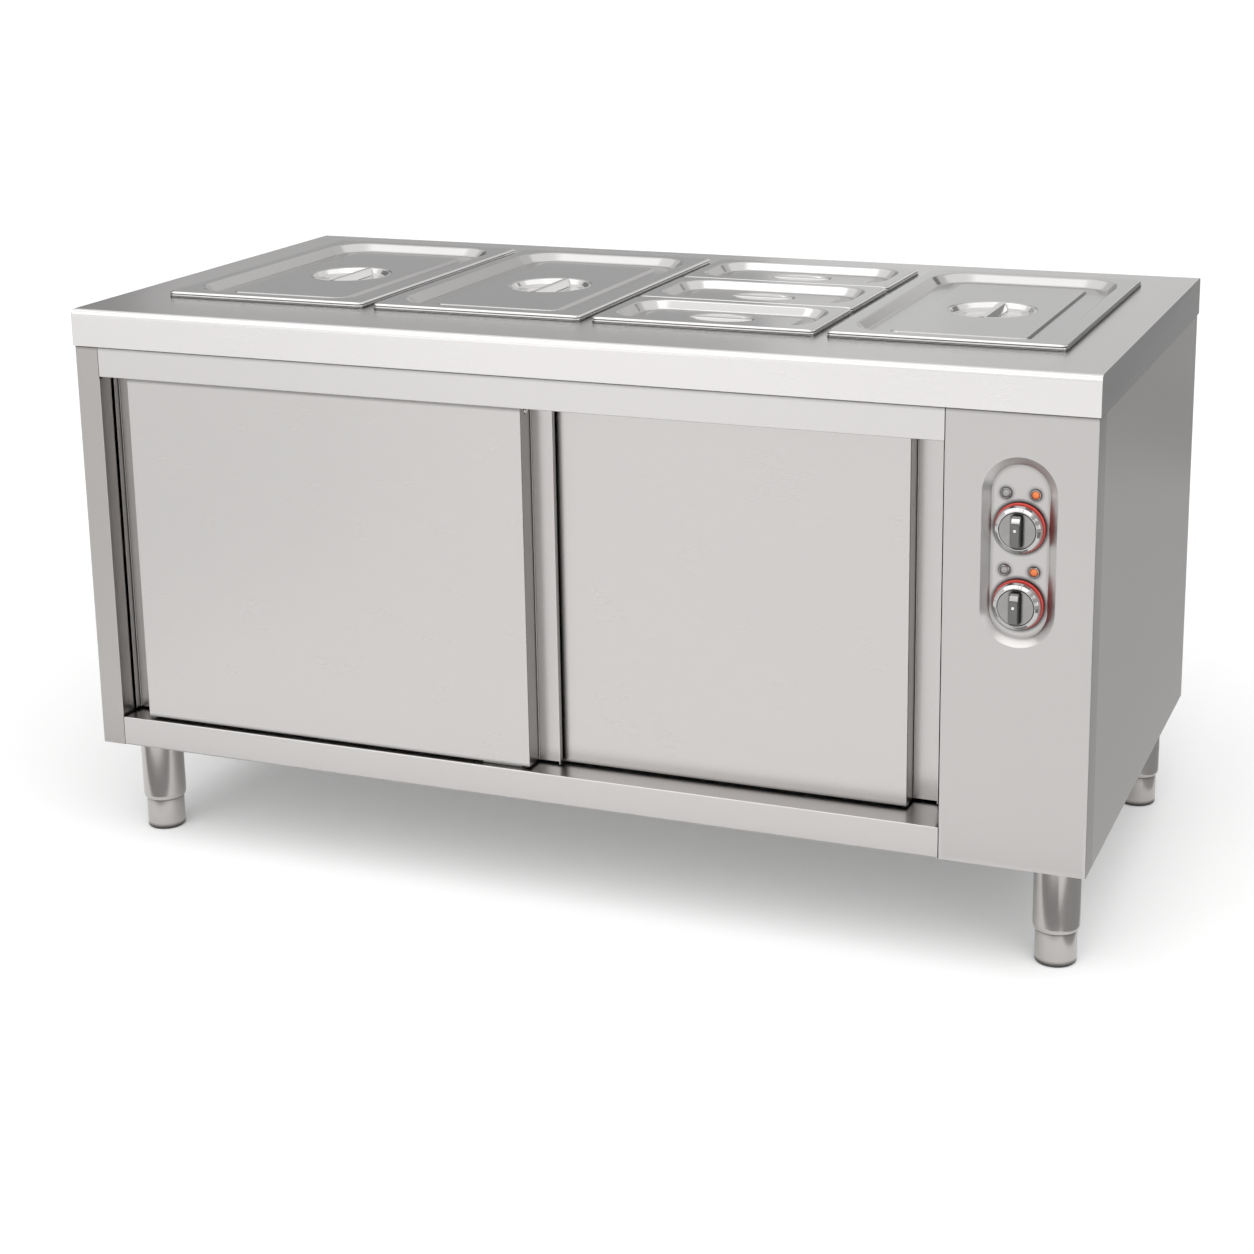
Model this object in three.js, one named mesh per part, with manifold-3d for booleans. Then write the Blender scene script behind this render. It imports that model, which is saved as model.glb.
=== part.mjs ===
// A bain marie counter: a free-standing hot cupboard with sliding doors and four heated wells
// in its worktop. Millimetres, +Z up, front towards -Y. The origin is on the floor, below the
// middle of the whole counter's box.
import * as THREE from 'three';
import { mergeVertices } from 'three/addons/utils/BufferGeometryUtils.js';
import Module from 'manifold-3d';

const wasm = await Module();
wasm.setup();

// Driving dimensions of the counter
const counterWidth = 1500;
const counterDepth = 750;
const counterHeight = 820;
const undersideHeight = 155;
const apronDepth = 54;
const bodyInset = 2;
const sheet = 1.5;
const thinSheet = 1.2;
const seatGap = 0.3;
const overrun = 5;

// Front of the body: pillar, control panel, rails
const pillarWidth = 38;
const controlWidth = 196;
const topRailFace = 44;
const bottomRailFace = 44;
const bullnoseRadius = 10;
const backEdgeRadius = 2;
const bullnoseSteps = 6;

// Gastronorm wells, pans and lids
const wellCount = 4;
const wellGap = 16;
const wellMarginLeft = 80;
const wellMarginRight = 72;
const wellMarginFront = 131;
const wellMarginBack = 89;
const thirdCount = 3;
const thirdGap = 0.7;
const cutoutInset = 10;
const cutoutCorner = 30;
const panDepth = 150;
const panGauge = 1;
const rimCorner = 10;

// Places worked out from the driving dimensions
const halfWidth = counterWidth / 2;
const halfDepth = counterDepth / 2;
const sideFace = halfWidth - bodyInset;
const frontFace = -halfDepth + bodyInset;
const backFace = halfDepth - bodyInset;
const skirtBottom = counterHeight - apronDepth;
const carcassTop = counterHeight - sheet - seatGap;
const panelTop = counterHeight - bullnoseRadius - seatGap;
const doorwayLeft = -sideFace + pillarWidth;
const doorwayRight = sideFace - controlWidth;
const doorwayTop = skirtBottom - topRailFace;
const doorwayBottom = undersideHeight + bottomRailFace;
const insideSide = sideFace - sheet - seatGap;
const backPanelFace = backFace - sheet - seatGap;
const insideBack = backPanelFace - sheet - seatGap;
const floorSeat = undersideHeight + sheet + seatGap;
const wellsRun = counterWidth - wellMarginLeft - wellMarginRight;
const fullWidth = (wellsRun - (wellCount - 1) * wellGap) / wellCount;
const fullLength = counterDepth - wellMarginFront - wellMarginBack;
const wellPitch = fullWidth + wellGap;
const firstWellLeft = -halfWidth + wellMarginLeft;
const wellFront = -halfDepth + wellMarginFront;

// Finishes
const brushedSteel = { color: 0xc9c6c3, roughness: 0.38, metalness: 0.9 };
const panSteel = { color: 0xb9b8b7, roughness: 0.3, metalness: 0.95 };
const galvanised = { color: 0xa9acae, roughness: 0.5, metalness: 0.8 };
const chrome = { color: 0xd6d6d6, roughness: 0.12, metalness: 1 };
const redPlastic = { color: 0xb3241c, roughness: 0.35, metalness: 0 };
const amberLens = { color: 0xe8641a, roughness: 0.25, metalness: 0 };
const clearLens = { color: 0x8f9092, roughness: 0.25, metalness: 0 };
const whiteNylon = { color: 0xe6e4de, roughness: 0.6, metalness: 0 };
const blackPlastic = { color: 0x26262a, roughness: 0.55, metalness: 0 };
const elementSheath = { color: 0x6e6a66, roughness: 0.45, metalness: 0.85 };
const brass = { color: 0xb08d4f, roughness: 0.35, metalness: 1 };

// Solids: closed three.js geometry turned into a solid, and back
const mergeTolerance = 1e-4;
const roundSides = 16;
const smallRoundSides = 12;

function solidOf(geometry) {
  for (const key of Object.keys(geometry.attributes)) {
    if (key !== 'position') geometry.deleteAttribute(key);
  }
  const merged = mergeVertices(geometry, mergeTolerance);
  const position = merged.getAttribute('position');
  const corners = [0, 1, 2].map(() => new THREE.Vector3());
  const triangles = [];
  let volume = 0;
  for (let i = 0; i < merged.index.count; i += 3) {
    const ids = [0, 1, 2].map((k) => merged.index.getX(i + k));
    if (new Set(ids).size < ids.length) continue;
    ids.forEach((id, k) => corners[k].fromBufferAttribute(position, id));
    volume += corners[0].dot(corners[1].clone().cross(corners[2]));
    triangles.push(ids);
  }
  const triVerts = new Uint32Array(triangles.map((ids) => (volume < 0 ? ids.reverse() : ids)).flat());
  const vertProperties = new Float32Array(position.array);
  return new wasm.Manifold(new wasm.Mesh({ numProp: 3, vertProperties, triVerts }));
}

function meshOf(name, solid, finish) {
  const { vertProperties, triVerts } = solid.getMesh();
  const geometry = new THREE.BufferGeometry();
  geometry.setAttribute('position', new THREE.BufferAttribute(vertProperties, 3));
  geometry.setIndex(new THREE.BufferAttribute(triVerts, 1));
  geometry.computeVertexNormals();
  const mesh = new THREE.Mesh(geometry, new THREE.MeshStandardMaterial(finish));
  mesh.name = name;
  return mesh;
}

function joined(solids) {
  return solids.reduce((sum, solid) => sum.add(solid));
}

function cut(solid, cutters) {
  return cutters.reduce((rest, cutter) => rest.subtract(cutter), solid);
}

// Local x, y, z laid along world axes: Z for plans, X for lengthwise sections, Y for fronts
const layAlong = {
  Z: new THREE.Matrix4(),
  X: new THREE.Matrix4().makeBasis(
    new THREE.Vector3(0, 1, 0), new THREE.Vector3(0, 0, 1), new THREE.Vector3(1, 0, 0)),
  Y: new THREE.Matrix4().makeBasis(
    new THREE.Vector3(1, 0, 0), new THREE.Vector3(0, 0, 1), new THREE.Vector3(0, -1, 0)),
};

function block(x, y, z) {
  const geometry = new THREE.BoxGeometry(x[1] - x[0], y[1] - y[0], z[1] - z[0]);
  geometry.translate((x[0] + x[1]) / 2, (y[0] + y[1]) / 2, (z[0] + z[1]) / 2);
  return solidOf(geometry);
}

function prism(outline, from, to, axis) {
  const shape = new THREE.Shape(outline);
  const geometry = new THREE.ExtrudeGeometry(shape, { depth: to - from, bevelEnabled: false });
  geometry.translate(0, 0, from);
  geometry.applyMatrix4(layAlong[axis]);
  return solidOf(geometry);
}

// A cylinder standing along X, Y or Z, its centre line at the two other coordinates
function rod(axis, radius, across, along, sides) {
  const geometry = new THREE.CylinderGeometry(radius, radius, along[1] - along[0], sides);
  geometry.translate(0, (along[0] + along[1]) / 2, 0);
  if (axis === 'X') geometry.rotateZ(-Math.PI / 2).translate(0, across[0], across[1]);
  if (axis === 'Y') geometry.translate(across[0], 0, across[1]);
  if (axis === 'Z') geometry.rotateX(Math.PI / 2).translate(across[0], across[1], 0);
  return solidOf(geometry);
}

// A turned piece: its profile gives radius and height along Z, or place along Y
function turned(profile, axis, across, sides) {
  const points = profile.map(([radius, height]) => new THREE.Vector2(radius, height));
  const geometry = new THREE.LatheGeometry(points, sides);
  if (axis === 'Z') geometry.rotateX(Math.PI / 2).translate(across[0], across[1], 0);
  if (axis === 'Y') geometry.translate(across[0], 0, across[1]);
  return solidOf(geometry);
}

// The outline of a sheet folded along the given face points, thickened to the left of the path
function foldedOutline(path, gauge) {
  const points = path.map(([u, v]) => new THREE.Vector2(u, v));
  const sides = points.slice(1).map((point, i) => {
    const run = point.clone().sub(points[i]).normalize();
    return new THREE.Vector2(-run.y, run.x);
  });
  const offset = points.map((point, i) => {
    const before = sides[Math.max(i - 1, 0)];
    const after = sides[Math.min(i, sides.length - 1)];
    const mitre = before.clone().add(after).divideScalar(1 + before.dot(after));
    return point.clone().addScaledVector(mitre, gauge);
  });
  return [...points, ...offset.reverse()];
}

const cornerSteps = 3;

// Rounded rectangle about its centre, four points on each corner
function roundedRect(width, depth, radius) {
  const points = [];
  for (let corner = 0; corner < 4; corner += 1) {
    const signX = corner === 0 || corner === 3 ? 1 : -1;
    const signY = corner < 2 ? 1 : -1;
    for (let step = 0; step <= cornerSteps; step += 1) {
      const angle = (corner + step / cornerSteps) * Math.PI / 2;
      points.push(new THREE.Vector2(
        signX * (width / 2 - radius) + radius * Math.cos(angle),
        signY * (depth / 2 - radius) + radius * Math.sin(angle)));
    }
  }
  return points;
}

// Ellipse about its centre with as many points as a rounded rectangle, in step with its corners
function ellipse(radiusX, radiusY) {
  const perCorner = cornerSteps + 1;
  return Array.from({ length: 4 * perCorner }, (_, i) => {
    const angle = (i + 1 / 2) / perCorner * Math.PI / 2;
    return new THREE.Vector2(radiusX * Math.cos(angle), radiusY * Math.sin(angle));
  });
}

// Upright round-ended slot outline about its centre
function obround(halfWide, halfHigh, steps) {
  const straight = halfHigh - halfWide;
  return [1, -1].flatMap((end) => Array.from({ length: steps + 1 }, (_, i) => {
    const angle = (i / steps + (end < 0 ? 1 : 0)) * Math.PI;
    return new THREE.Vector2(halfWide * Math.cos(angle), end * straight + halfWide * Math.sin(angle));
  }));
}

// A skin through rings of equally many points, closed by a flat cap on the first and last ring
function loft(rings, axis) {
  const count = rings[0].outline.length;
  const positions = rings.flatMap(({ outline, z }) => outline.flatMap((point) => [point.x, point.y, z]));
  const faces = [];
  for (let k = 0; k + 1 < rings.length; k += 1) {
    for (let i = 0; i < count; i += 1) {
      const near = k * count + i;
      const next = k * count + (i + 1) % count;
      faces.push(near, next, next + count, near, next + count, near + count);
    }
  }
  const last = (rings.length - 1) * count;
  for (const [a, b, c] of THREE.ShapeUtils.triangulateShape(rings[0].outline, [])) faces.push(a, c, b);
  for (const face of THREE.ShapeUtils.triangulateShape(rings.at(-1).outline, [])) {
    faces.push(...face.map((id) => id + last));
  }
  const geometry = new THREE.BufferGeometry();
  geometry.setAttribute('position', new THREE.Float32BufferAttribute(positions, 3));
  geometry.setIndex(faces);
  geometry.applyMatrix4(layAlong[axis]);
  return solidOf(geometry);
}

// A route whose stations are used one by one, so that straight runs take a single step
class Route extends THREE.Curve {
  constructor(stations) {
    super();
    this.stations = stations;
  }

  getPointAt(share) {
    return this.stations[Math.round(share * (this.stations.length - 1))].clone();
  }

  getPoint(share) {
    return this.getPointAt(share);
  }

  getTangentAt(share) {
    const i = Math.round(share * (this.stations.length - 1));
    const before = this.stations[Math.max(i - 1, 0)];
    const after = this.stations[Math.min(i + 1, this.stations.length - 1)];
    return after.clone().sub(before).normalize();
  }
}

function tubeAlong(stations, radius, sides) {
  const circle = Array.from({ length: sides }, (_, i) => {
    const angle = (i + 1 / 2) / sides * 2 * Math.PI;
    return new THREE.Vector2(radius * Math.cos(angle), radius * Math.sin(angle));
  });
  const options = { steps: stations.length - 1, extrudePath: new Route(stations), bevelEnabled: false };
  return solidOf(new THREE.ExtrudeGeometry(new THREE.Shape(circle), options));
}

function mirroredCorners(x, y) {
  return [[-x, -y], [x, -y], [-x, y], [x, y]];
}

// Worktop: one pressed sheet with a rounded front edge, a skirt and a cut-out over each well
function worktopSection(inset, bottom) {
  const front = -halfDepth + inset;
  const back = halfDepth - inset;
  const top = counterHeight - inset;
  const shape = new THREE.Shape();
  shape.moveTo(back, bottom);
  shape.lineTo(back, top - backEdgeRadius);
  shape.lineTo(back - backEdgeRadius, top);
  const nose = bullnoseRadius - inset;
  shape.lineTo(front + nose, top);
  shape.absarc(front + nose, top - nose, nose, Math.PI / 2, Math.PI, false);
  shape.lineTo(front, bottom);
  return shape.getPoints(bullnoseSteps);
}

function wellCentre(index) {
  return [firstWellLeft + index * wellPitch + fullWidth / 2, wellFront + fullLength / 2];
}

function placedOutline(outline, [x, y]) {
  return outline.map((point) => new THREE.Vector2(point.x + x, point.y + y));
}

function makeWorktop() {
  const outer = prism(worktopSection(0, skirtBottom), -halfWidth, halfWidth, 'X');
  const innerEnd = halfWidth - sheet;
  const inner = prism(worktopSection(sheet, skirtBottom - overrun), -innerEnd, innerEnd, 'X');
  const hole = roundedRect(fullWidth - 2 * cutoutInset, fullLength - 2 * cutoutInset, cutoutCorner);
  const holes = Array.from({ length: wellCount }, (_, i) => prism(
    placedOutline(hole, wellCentre(i)), counterHeight - sheet - overrun, counterHeight + overrun, 'Z'));
  return cut(outer, [inner, ...holes]);
}

// Left side panel: its front fold is the pillar, its back fold holds the back panel
const pillarReturn = 28;
const backFold = 20;

function makeLeftSidePanel() {
  const path = [
    [-sideFace + backFold, backFace], [-sideFace, backFace], [-sideFace, frontFace],
    [doorwayLeft, frontFace], [doorwayLeft, frontFace + pillarReturn]];
  return prism(foldedOutline(path, sheet), undersideHeight, panelTop, 'Z');
}

// Right side panel: starts behind the control panel's wrapped edge
const controlWrap = 42;

function makeRightSidePanel() {
  const seam = frontFace + controlWrap + seatGap;
  const path = [[sideFace, seam], [sideFace, backFace], [sideFace - backFold, backFace]];
  return prism(foldedOutline(path, sheet), undersideHeight, panelTop, 'Z');
}

// Sliding doors: two tracks, one door width for both
const doorSetback = 9;
const doorThickness = 32;
const doorGap = 6;
const doorOverlap = 162;
const doorSideClearance = 4;
const doorStopGap = 20;
const doorLift = 4;
const doorHiddenTop = 14;
const stripWidth = 36;
const lipDepth = 10;
const trackPitch = doorThickness + doorGap;
const frontDoorY = frontFace + doorSetback;
const doorBottom = doorwayBottom + doorLift;
const doorTop = doorwayTop + doorHiddenTop;
const doorsRun = doorwayRight - doorwayLeft - doorSideClearance - doorStopGap;
const doorWidth = (doorsRun + doorOverlap) / 2;
const frontDoorLeft = doorwayLeft + doorSideClearance;
const rearDoorLeft = doorwayRight - doorStopGap - doorWidth;

function makeDoor(left, front) {
  const right = left + doorWidth;
  const back = front + doorThickness;
  const path = [
    [left, back - lipDepth], [left, back], [left + stripWidth, back], [left + stripWidth, front],
    [right - stripWidth, front], [right - stripWidth, back], [right, back], [right, back - lipDepth]];
  const outline = foldedOutline(path, thinSheet);
  return prism(outline, doorBottom, doorTop, 'Z');
}

function makeDoorLiner(left, front) {
  const edge = stripWidth + thinSheet + seatGap;
  const back = front + doorThickness + thinSheet;
  return block([left + edge, left + doorWidth - edge], [back - thinSheet, back], [doorBottom, doorTop]);
}

// Door track: two channels side by side below the top rail's shelf
const channelHalf = 15;
const channelHeight = 22;
const slotHalf = 6;
const trackTop = skirtBottom - seatGap;
const trackBottom = trackTop - channelHeight - sheet;
const doorCentres = [0, 1].map((lane) => frontDoorY + doorThickness / 2 + lane * trackPitch);

function makeDoorTrack() {
  const ends = [doorwayLeft + seatGap, doorwayRight - sheet - 2 * seatGap];
  const wall = channelHalf + sheet;
  const body = block(ends, [doorCentres[0] - wall, doorCentres[1] + wall], [trackBottom, trackTop]);
  const through = [ends[0] - overrun, ends[1] + overrun];
  const cutters = doorCentres.flatMap((y) => [
    block(through, [y - channelHalf, y + channelHalf], [trackBottom + sheet, trackTop - sheet]),
    block(through, [y - slotHalf, y + slotHalf], [trackBottom - overrun, trackBottom + 2 * sheet])]);
  return cut(body, cutters);
}

// Hanger of a door: a bar fixed between its skins with two heads that run in the track
const hangerInset = 60;
const hangerBarHeight = 16;
const stemHalf = 4;
const headHalf = 12;
const headHeight = 11;
const headLength = 50;
const headSpreadShare = 0.315;

function makeHanger(left, front) {
  const y = front + doorThickness / 2;
  const middle = left + doorWidth / 2;
  const barHalf = doorThickness / 2 - thinSheet - seatGap;
  const barEnds = [left + stripWidth + hangerInset, left + doorWidth - stripWidth - hangerInset];
  const bar = block(barEnds, [y - barHalf, y + barHalf], [doorTop - hangerBarHeight, doorTop]);
  const headBottom = trackBottom + sheet + seatGap;
  const heads = [-1, 1].flatMap((side) => {
    const x = middle + side * headSpreadShare * doorWidth;
    const along = [x - headLength / 2, x + headLength / 2];
    return [
      block(along, [y - stemHalf, y + stemHalf], [doorTop - thinSheet, headBottom + thinSheet]),
      block(along, [y - headHalf, y + headHalf], [headBottom, headBottom + headHeight])];
  });
  return joined([bar, ...heads]);
}

// Lower guide: a block on the bottom rail, at the place that both doors always cover
const guideLength = 60;
const guideFinHalf = 11;
const guidePlate = 2.5;
const guideFinReach = 6;

function makeDoorGuide() {
  const middle = (frontDoorLeft + rearDoorLeft + doorWidth) / 2;
  const along = [middle - guideLength / 2, middle + guideLength / 2];
  const bottom = doorwayBottom + seatGap;
  const ends = [doorCentres[0] - guideFinHalf, doorCentres[1] + guideFinHalf];
  const fins = doorCentres.map((y) => block(
    along, [y - guideFinHalf, y + guideFinHalf], [bottom, doorBottom + guideFinReach]));
  return joined([block(along, ends, [bottom, bottom + guidePlate]), ...fins]);
}

// Top rail: face above the doors, a shelf that carries the track, and a riser to the worktop
const railLipDepth = 6;
const riserY = doorCentres[1] + channelHalf + sheet + seatGap;
const topFlange = 23;

function makeTopRail() {
  const shelf = skirtBottom + sheet;
  const path = [
    [riserY + topFlange, carcassTop], [riserY, carcassTop], [riserY, shelf], [frontFace, shelf],
    [frontFace, doorwayTop], [frontFace + railLipDepth, doorwayTop]];
  return prism(foldedOutline(path, sheet), doorwayLeft + seatGap, doorwayRight - seatGap, 'X');
}

// Bottom rail: face below the doors, the ledge under them, and folds to the underside
const ledgeBack = riserY + 7;

function makeBottomRail() {
  const path = [
    [ledgeBack, floorSeat], [ledgeBack, doorwayBottom], [frontFace, doorwayBottom],
    [frontFace, undersideHeight], [frontFace + pillarReturn, undersideHeight]];
  return prism(foldedOutline(path, sheet), doorwayLeft + seatGap, doorwayRight - seatGap, 'X');
}

// Control panel: front sheet wrapped round the right corner, with a round-ended pressed recess
const recessHalfWide = 49;
const recessHalfHigh = 125.5;
const recessDrop = 236.5;
const recessSlope = 11.7;
const recessDepth = 8;
const recessSteps = 12;
const shaftHoleRadius = 4;
const lampHoleRadius = 5;
const knobDrops = [-32, 69];
const lampRise = 44;
const lampSpread = 19;
const controlX = (doorwayRight + sideFace) / 2;
const recessCentreZ = counterHeight - recessDrop;
const recessFloor = frontFace + recessDepth;
const knobPlaces = knobDrops.map((drop) => [controlX, recessCentreZ - drop]);
const lampPlaces = knobPlaces.flatMap(([x, z]) => [
  [x - lampSpread, z + lampRise], [x + lampSpread, z + lampRise]]);

// Rings of the recess are laid on the front, with local depth growing towards the viewer
function recessBody(grow, frontOver) {
  const grade = recessSlope / recessDepth;
  const ring = (depth, y) => {
    const inset = depth * grade - grow;
    const outline = obround(recessHalfWide - inset, recessHalfHigh - inset, recessSteps);
    return { outline: placedOutline(outline, [controlX, recessCentreZ]), z: -y };
  };
  return loft([ring(recessDepth, recessFloor + grow), ring(-frontOver, frontFace - frontOver)], 'Y');
}

function makeControlPanel() {
  const path = [
    [doorwayRight, ledgeBack - seatGap], [doorwayRight, frontFace], [sideFace, frontFace],
    [sideFace, frontFace + controlWrap]];
  const folded = prism(foldedOutline(path, sheet), undersideHeight, panelTop, 'Z');
  const bottomFold = block(
    [doorwayRight, sideFace], [frontFace, frontFace + pillarReturn],
    [undersideHeight, undersideHeight + sheet]);
  const notch = block(
    [doorwayRight - overrun, doorwayRight + overrun],
    [frontFace + pillarReturn, ledgeBack + overrun], [undersideHeight - overrun, floorSeat]);
  const through = [frontFace, recessFloor + 2 * overrun];
  const holes = [
    ...knobPlaces.map((place) => rod('Y', shaftHoleRadius, place, through, roundSides)),
    ...lampPlaces.map((place) => rod('Y', lampHoleRadius, place, through, roundSides))];
  const pressed = folded.add(bottomFold).add(recessBody(sheet, 0));
  return cut(pressed, [notch, recessBody(0, overrun), ...holes]);
}

// Underside, cupboard floor, shelf, partition and back
const shelfShare = 0.56;
const shelfEdge = 20;
const shelfSetback = 103;
const legInsetX = 51;
const legInsetY = 76;
const tankDrop = 190;
const studRadius = 6;
const studClearance = 0.5;
const legX = sideFace - legInsetX;
const legY = backFace - legInsetY;
const tankBottom = counterHeight - tankDrop;
const shelfHeight = doorwayBottom + shelfShare * (tankBottom - doorwayBottom);
const shelfFront = frontFace + shelfSetback;
const partitionFace = doorwayRight - sheet - seatGap;

function invertedTray(x, y, z, gauge) {
  const inner = block(
    [x[0] + gauge, x[1] - gauge], [y[0] + gauge, y[1] - gauge], [z[0] - overrun, z[1] - gauge]);
  return block(x, y, z).subtract(inner);
}

function makeUndersidePanel() {
  const plate = block(
    [-insideSide, insideSide], [frontFace + pillarReturn + 2 * seatGap, backPanelFace],
    [undersideHeight, undersideHeight + sheet]);
  const studs = mirroredCorners(legX, legY).map((place) => rod(
    'Z', studRadius + studClearance, place,
    [undersideHeight - overrun, undersideHeight + sheet + overrun], smallRoundSides));
  return cut(plate, studs);
}

function makeCupboardFloor() {
  return invertedTray(
    [-insideSide, partitionFace - seatGap], [ledgeBack + seatGap, insideBack - seatGap],
    [floorSeat, doorwayBottom - sheet], thinSheet);
}

function makeMiddleShelf() {
  return invertedTray(
    [-insideSide, partitionFace - seatGap], [shelfFront, insideBack - seatGap],
    [shelfHeight - shelfEdge, shelfHeight], thinSheet);
}

// Heating elements: hairpins of sheathed tube
const elementRadius = 4.5;
const elementClearance = 0.4;
const elementSides = 8;
const hairpinHalf = 60;
const hairpinSteps = 8;

function hairpin(openEnd, closedEnd, y, z) {
  const bend = Array.from({ length: hairpinSteps + 1 }, (_, i) => {
    const angle = Math.PI * (1 / 2 + i / hairpinSteps);
    return new THREE.Vector3(
      closedEnd + hairpinHalf * (1 + Math.cos(angle)), y + hairpinHalf * Math.sin(angle), z);
  });
  const ends = [1, -1].map((side) => new THREE.Vector3(openEnd, y + side * hairpinHalf, z));
  return tubeAlong([ends[0], ...bend, ends[1]], elementRadius, elementSides);
}

const floorElementRise = 15;
const floorElementY = 20;
const floorElementMargin = 370;
const terminalReach = 24;
const floorElementZ = doorwayBottom + floorElementRise;
const floorElementLeft = doorwayLeft + floorElementMargin;

function makeCupboardElement() {
  return hairpin(doorwayRight + terminalReach, floorElementLeft, floorElementY, floorElementZ);
}

const guardMargin = 30;
const guardHeight = 36;
const guardSlotCount = 10;
const guardSlotWidth = 14;
const guardSlotShare = 0.7;

function makeElementGuard() {
  const left = floorElementLeft - guardMargin;
  const right = partitionFace - seatGap;
  const half = hairpinHalf + guardMargin;
  const bottom = doorwayBottom - sheet + seatGap;
  const cover = block(
    [left, right], [floorElementY - half, floorElementY + half], [bottom, bottom + guardHeight]);
  const inside = block(
    [left + thinSheet, right + overrun],
    [floorElementY - half + thinSheet, floorElementY + half - thinSheet],
    [bottom - overrun, bottom + guardHeight - thinSheet]);
  const slotPitch = (right - left) / (guardSlotCount + 1);
  const slots = Array.from({ length: guardSlotCount }, (_, i) => {
    const x = left + (i + 1) * slotPitch;
    return block(
      [x - guardSlotWidth / 2, x + guardSlotWidth / 2],
      [floorElementY - half * guardSlotShare, floorElementY + half * guardSlotShare],
      [bottom + guardHeight - overrun, bottom + guardHeight + overrun]);
  });
  return cut(cover, [inside, ...slots]);
}

// Thermostats: box behind the panel with a bored spindle boss, a capillary and a bulb
const thermostatHalf = 18;
const thermostatDepth = 30;
const bossRadius = 8;
const bossLength = 5;
const spindleRadius = 3;
const spindleClearance = 0.3;
const spindleReach = 18;
const capillaryRadius = 1.2;
const capillarySides = 6;
const capillarySteps = 14;
const bulbRadius = 3.2;
const bulbLength = 60;
const bulbSides = 10;
const capillaryHoleRadius = 4;
const bulbRise = 30;
const bulbSetback = 193;
const cupboardBulbHole = [frontFace + bulbSetback, shelfHeight + bulbRise];

function makeThermostat([x, z], stations) {
  const front = recessFloor + sheet + seatGap;
  const boxFront = front + bossLength;
  const body = block(
    [x - thermostatHalf, x + thermostatHalf], [boxFront, boxFront + thermostatDepth],
    [z - thermostatHalf, z + thermostatHalf]);
  const boss = rod('Y', bossRadius, [x, z], [front, boxFront + sheet], roundSides);
  const bore = rod(
    'Y', spindleRadius + spindleClearance, [x, z], [front - overrun, front + spindleReach + overrun],
    smallRoundSides);
  const start = new THREE.Vector3(x, boxFront + thermostatDepth - sheet, z);
  const curve = new THREE.CatmullRomCurve3([start, ...stations]);
  const capillary = tubeAlong(curve.getPoints(capillarySteps), capillaryRadius, capillarySides);
  const end = stations.at(-1);
  const bulb = rod('X', bulbRadius, [end.y, end.z], [end.x - bulbLength, end.x + bulbRadius], bulbSides);
  return joined([body, boss, capillary, bulb]).subtract(bore);
}

// Water tank below the wells, with its flange under the worktop
const tankMargin = 16;
const tankFlange = 12;
const tankCorner = 20;
const tankElementRise = 18;
const drainInsetX = 56;
const drainInsetY = 52;
const drainHoleRadius = 8;
const tankLeft = firstWellLeft + cutoutInset - tankMargin;
const tankRight = firstWellLeft + (wellCount - 1) * wellPitch + fullWidth - cutoutInset + tankMargin;
const tankFront = wellFront + cutoutInset - tankMargin;
const tankBack = wellFront + fullLength - cutoutInset + tankMargin;
const tankElementZ = tankBottom + tankElementRise;
const tankMiddleY = (tankFront + tankBack) / 2;
const tankElementGap = 40;
const drainX = tankLeft + drainInsetX;
const drainY = tankBack - drainInsetY;

function makeWaterTank() {
  const middle = [(tankLeft + tankRight) / 2, tankMiddleY];
  const ring = (grow, z) => {
    const outline = roundedRect(
      tankRight - tankLeft + 2 * grow, tankBack - tankFront + 2 * grow, tankCorner + grow);
    return { outline: placedOutline(outline, middle), z };
  };
  const shell = loft([
    ring(-sheet, tankBottom + sheet), ring(-sheet, carcassTop), ring(tankFlange, carcassTop),
    ring(tankFlange, carcassTop - sheet), ring(0, carcassTop - sheet), ring(0, tankBottom)], 'Z');
  const wires = [-1, 1].map((side) => rod(
    'X', elementRadius + elementClearance, [tankMiddleY + side * hairpinHalf, tankElementZ],
    [tankRight - overrun, tankRight + overrun], smallRoundSides));
  const drain = rod(
    'Z', drainHoleRadius, [drainX, drainY], [tankBottom - overrun, tankBottom + overrun], roundSides);
  return cut(shell, [...wires, drain]);
}

function makeTankElement() {
  return hairpin(tankRight + terminalReach, tankLeft + tankElementGap, tankMiddleY, tankElementZ);
}

function makePartition() {
  const plate = block(
    [partitionFace, partitionFace + sheet], [ledgeBack + seatGap, insideBack - seatGap],
    [floorSeat, tankBottom - seatGap]);
  const through = [partitionFace - overrun, partitionFace + sheet + overrun];
  const wires = [-1, 1].map((side) => rod(
    'X', elementRadius + elementClearance, [floorElementY + side * hairpinHalf, floorElementZ], through,
    smallRoundSides));
  return cut(plate, [...wires, rod('X', capillaryHoleRadius, cupboardBulbHole, through, smallRoundSides)]);
}

// Drain valve under the tank and its quarter-turn lever
const valveProfile = {
  flangeRadius: 16, flange: 3, neckRadius: 9, neck: 14, ballRadius: 17, ball: 26, spout: 30, bore: 6,
};
const leverHubRadius = 7;
const leverLength = 80;
const leverHalf = 5;
const leverThickness = 4;
const leverHubDepth = 8;
const leverHubSides = 14;

function valveHeights() {
  const top = tankBottom - seatGap;
  const ballTop = top - valveProfile.flange - valveProfile.neck;
  const ballBottom = ballTop - valveProfile.ball;
  const middle = (ballTop + ballBottom) / 2;
  return { top, ballTop, ballBottom, middle, end: ballBottom - valveProfile.spout };
}

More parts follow.
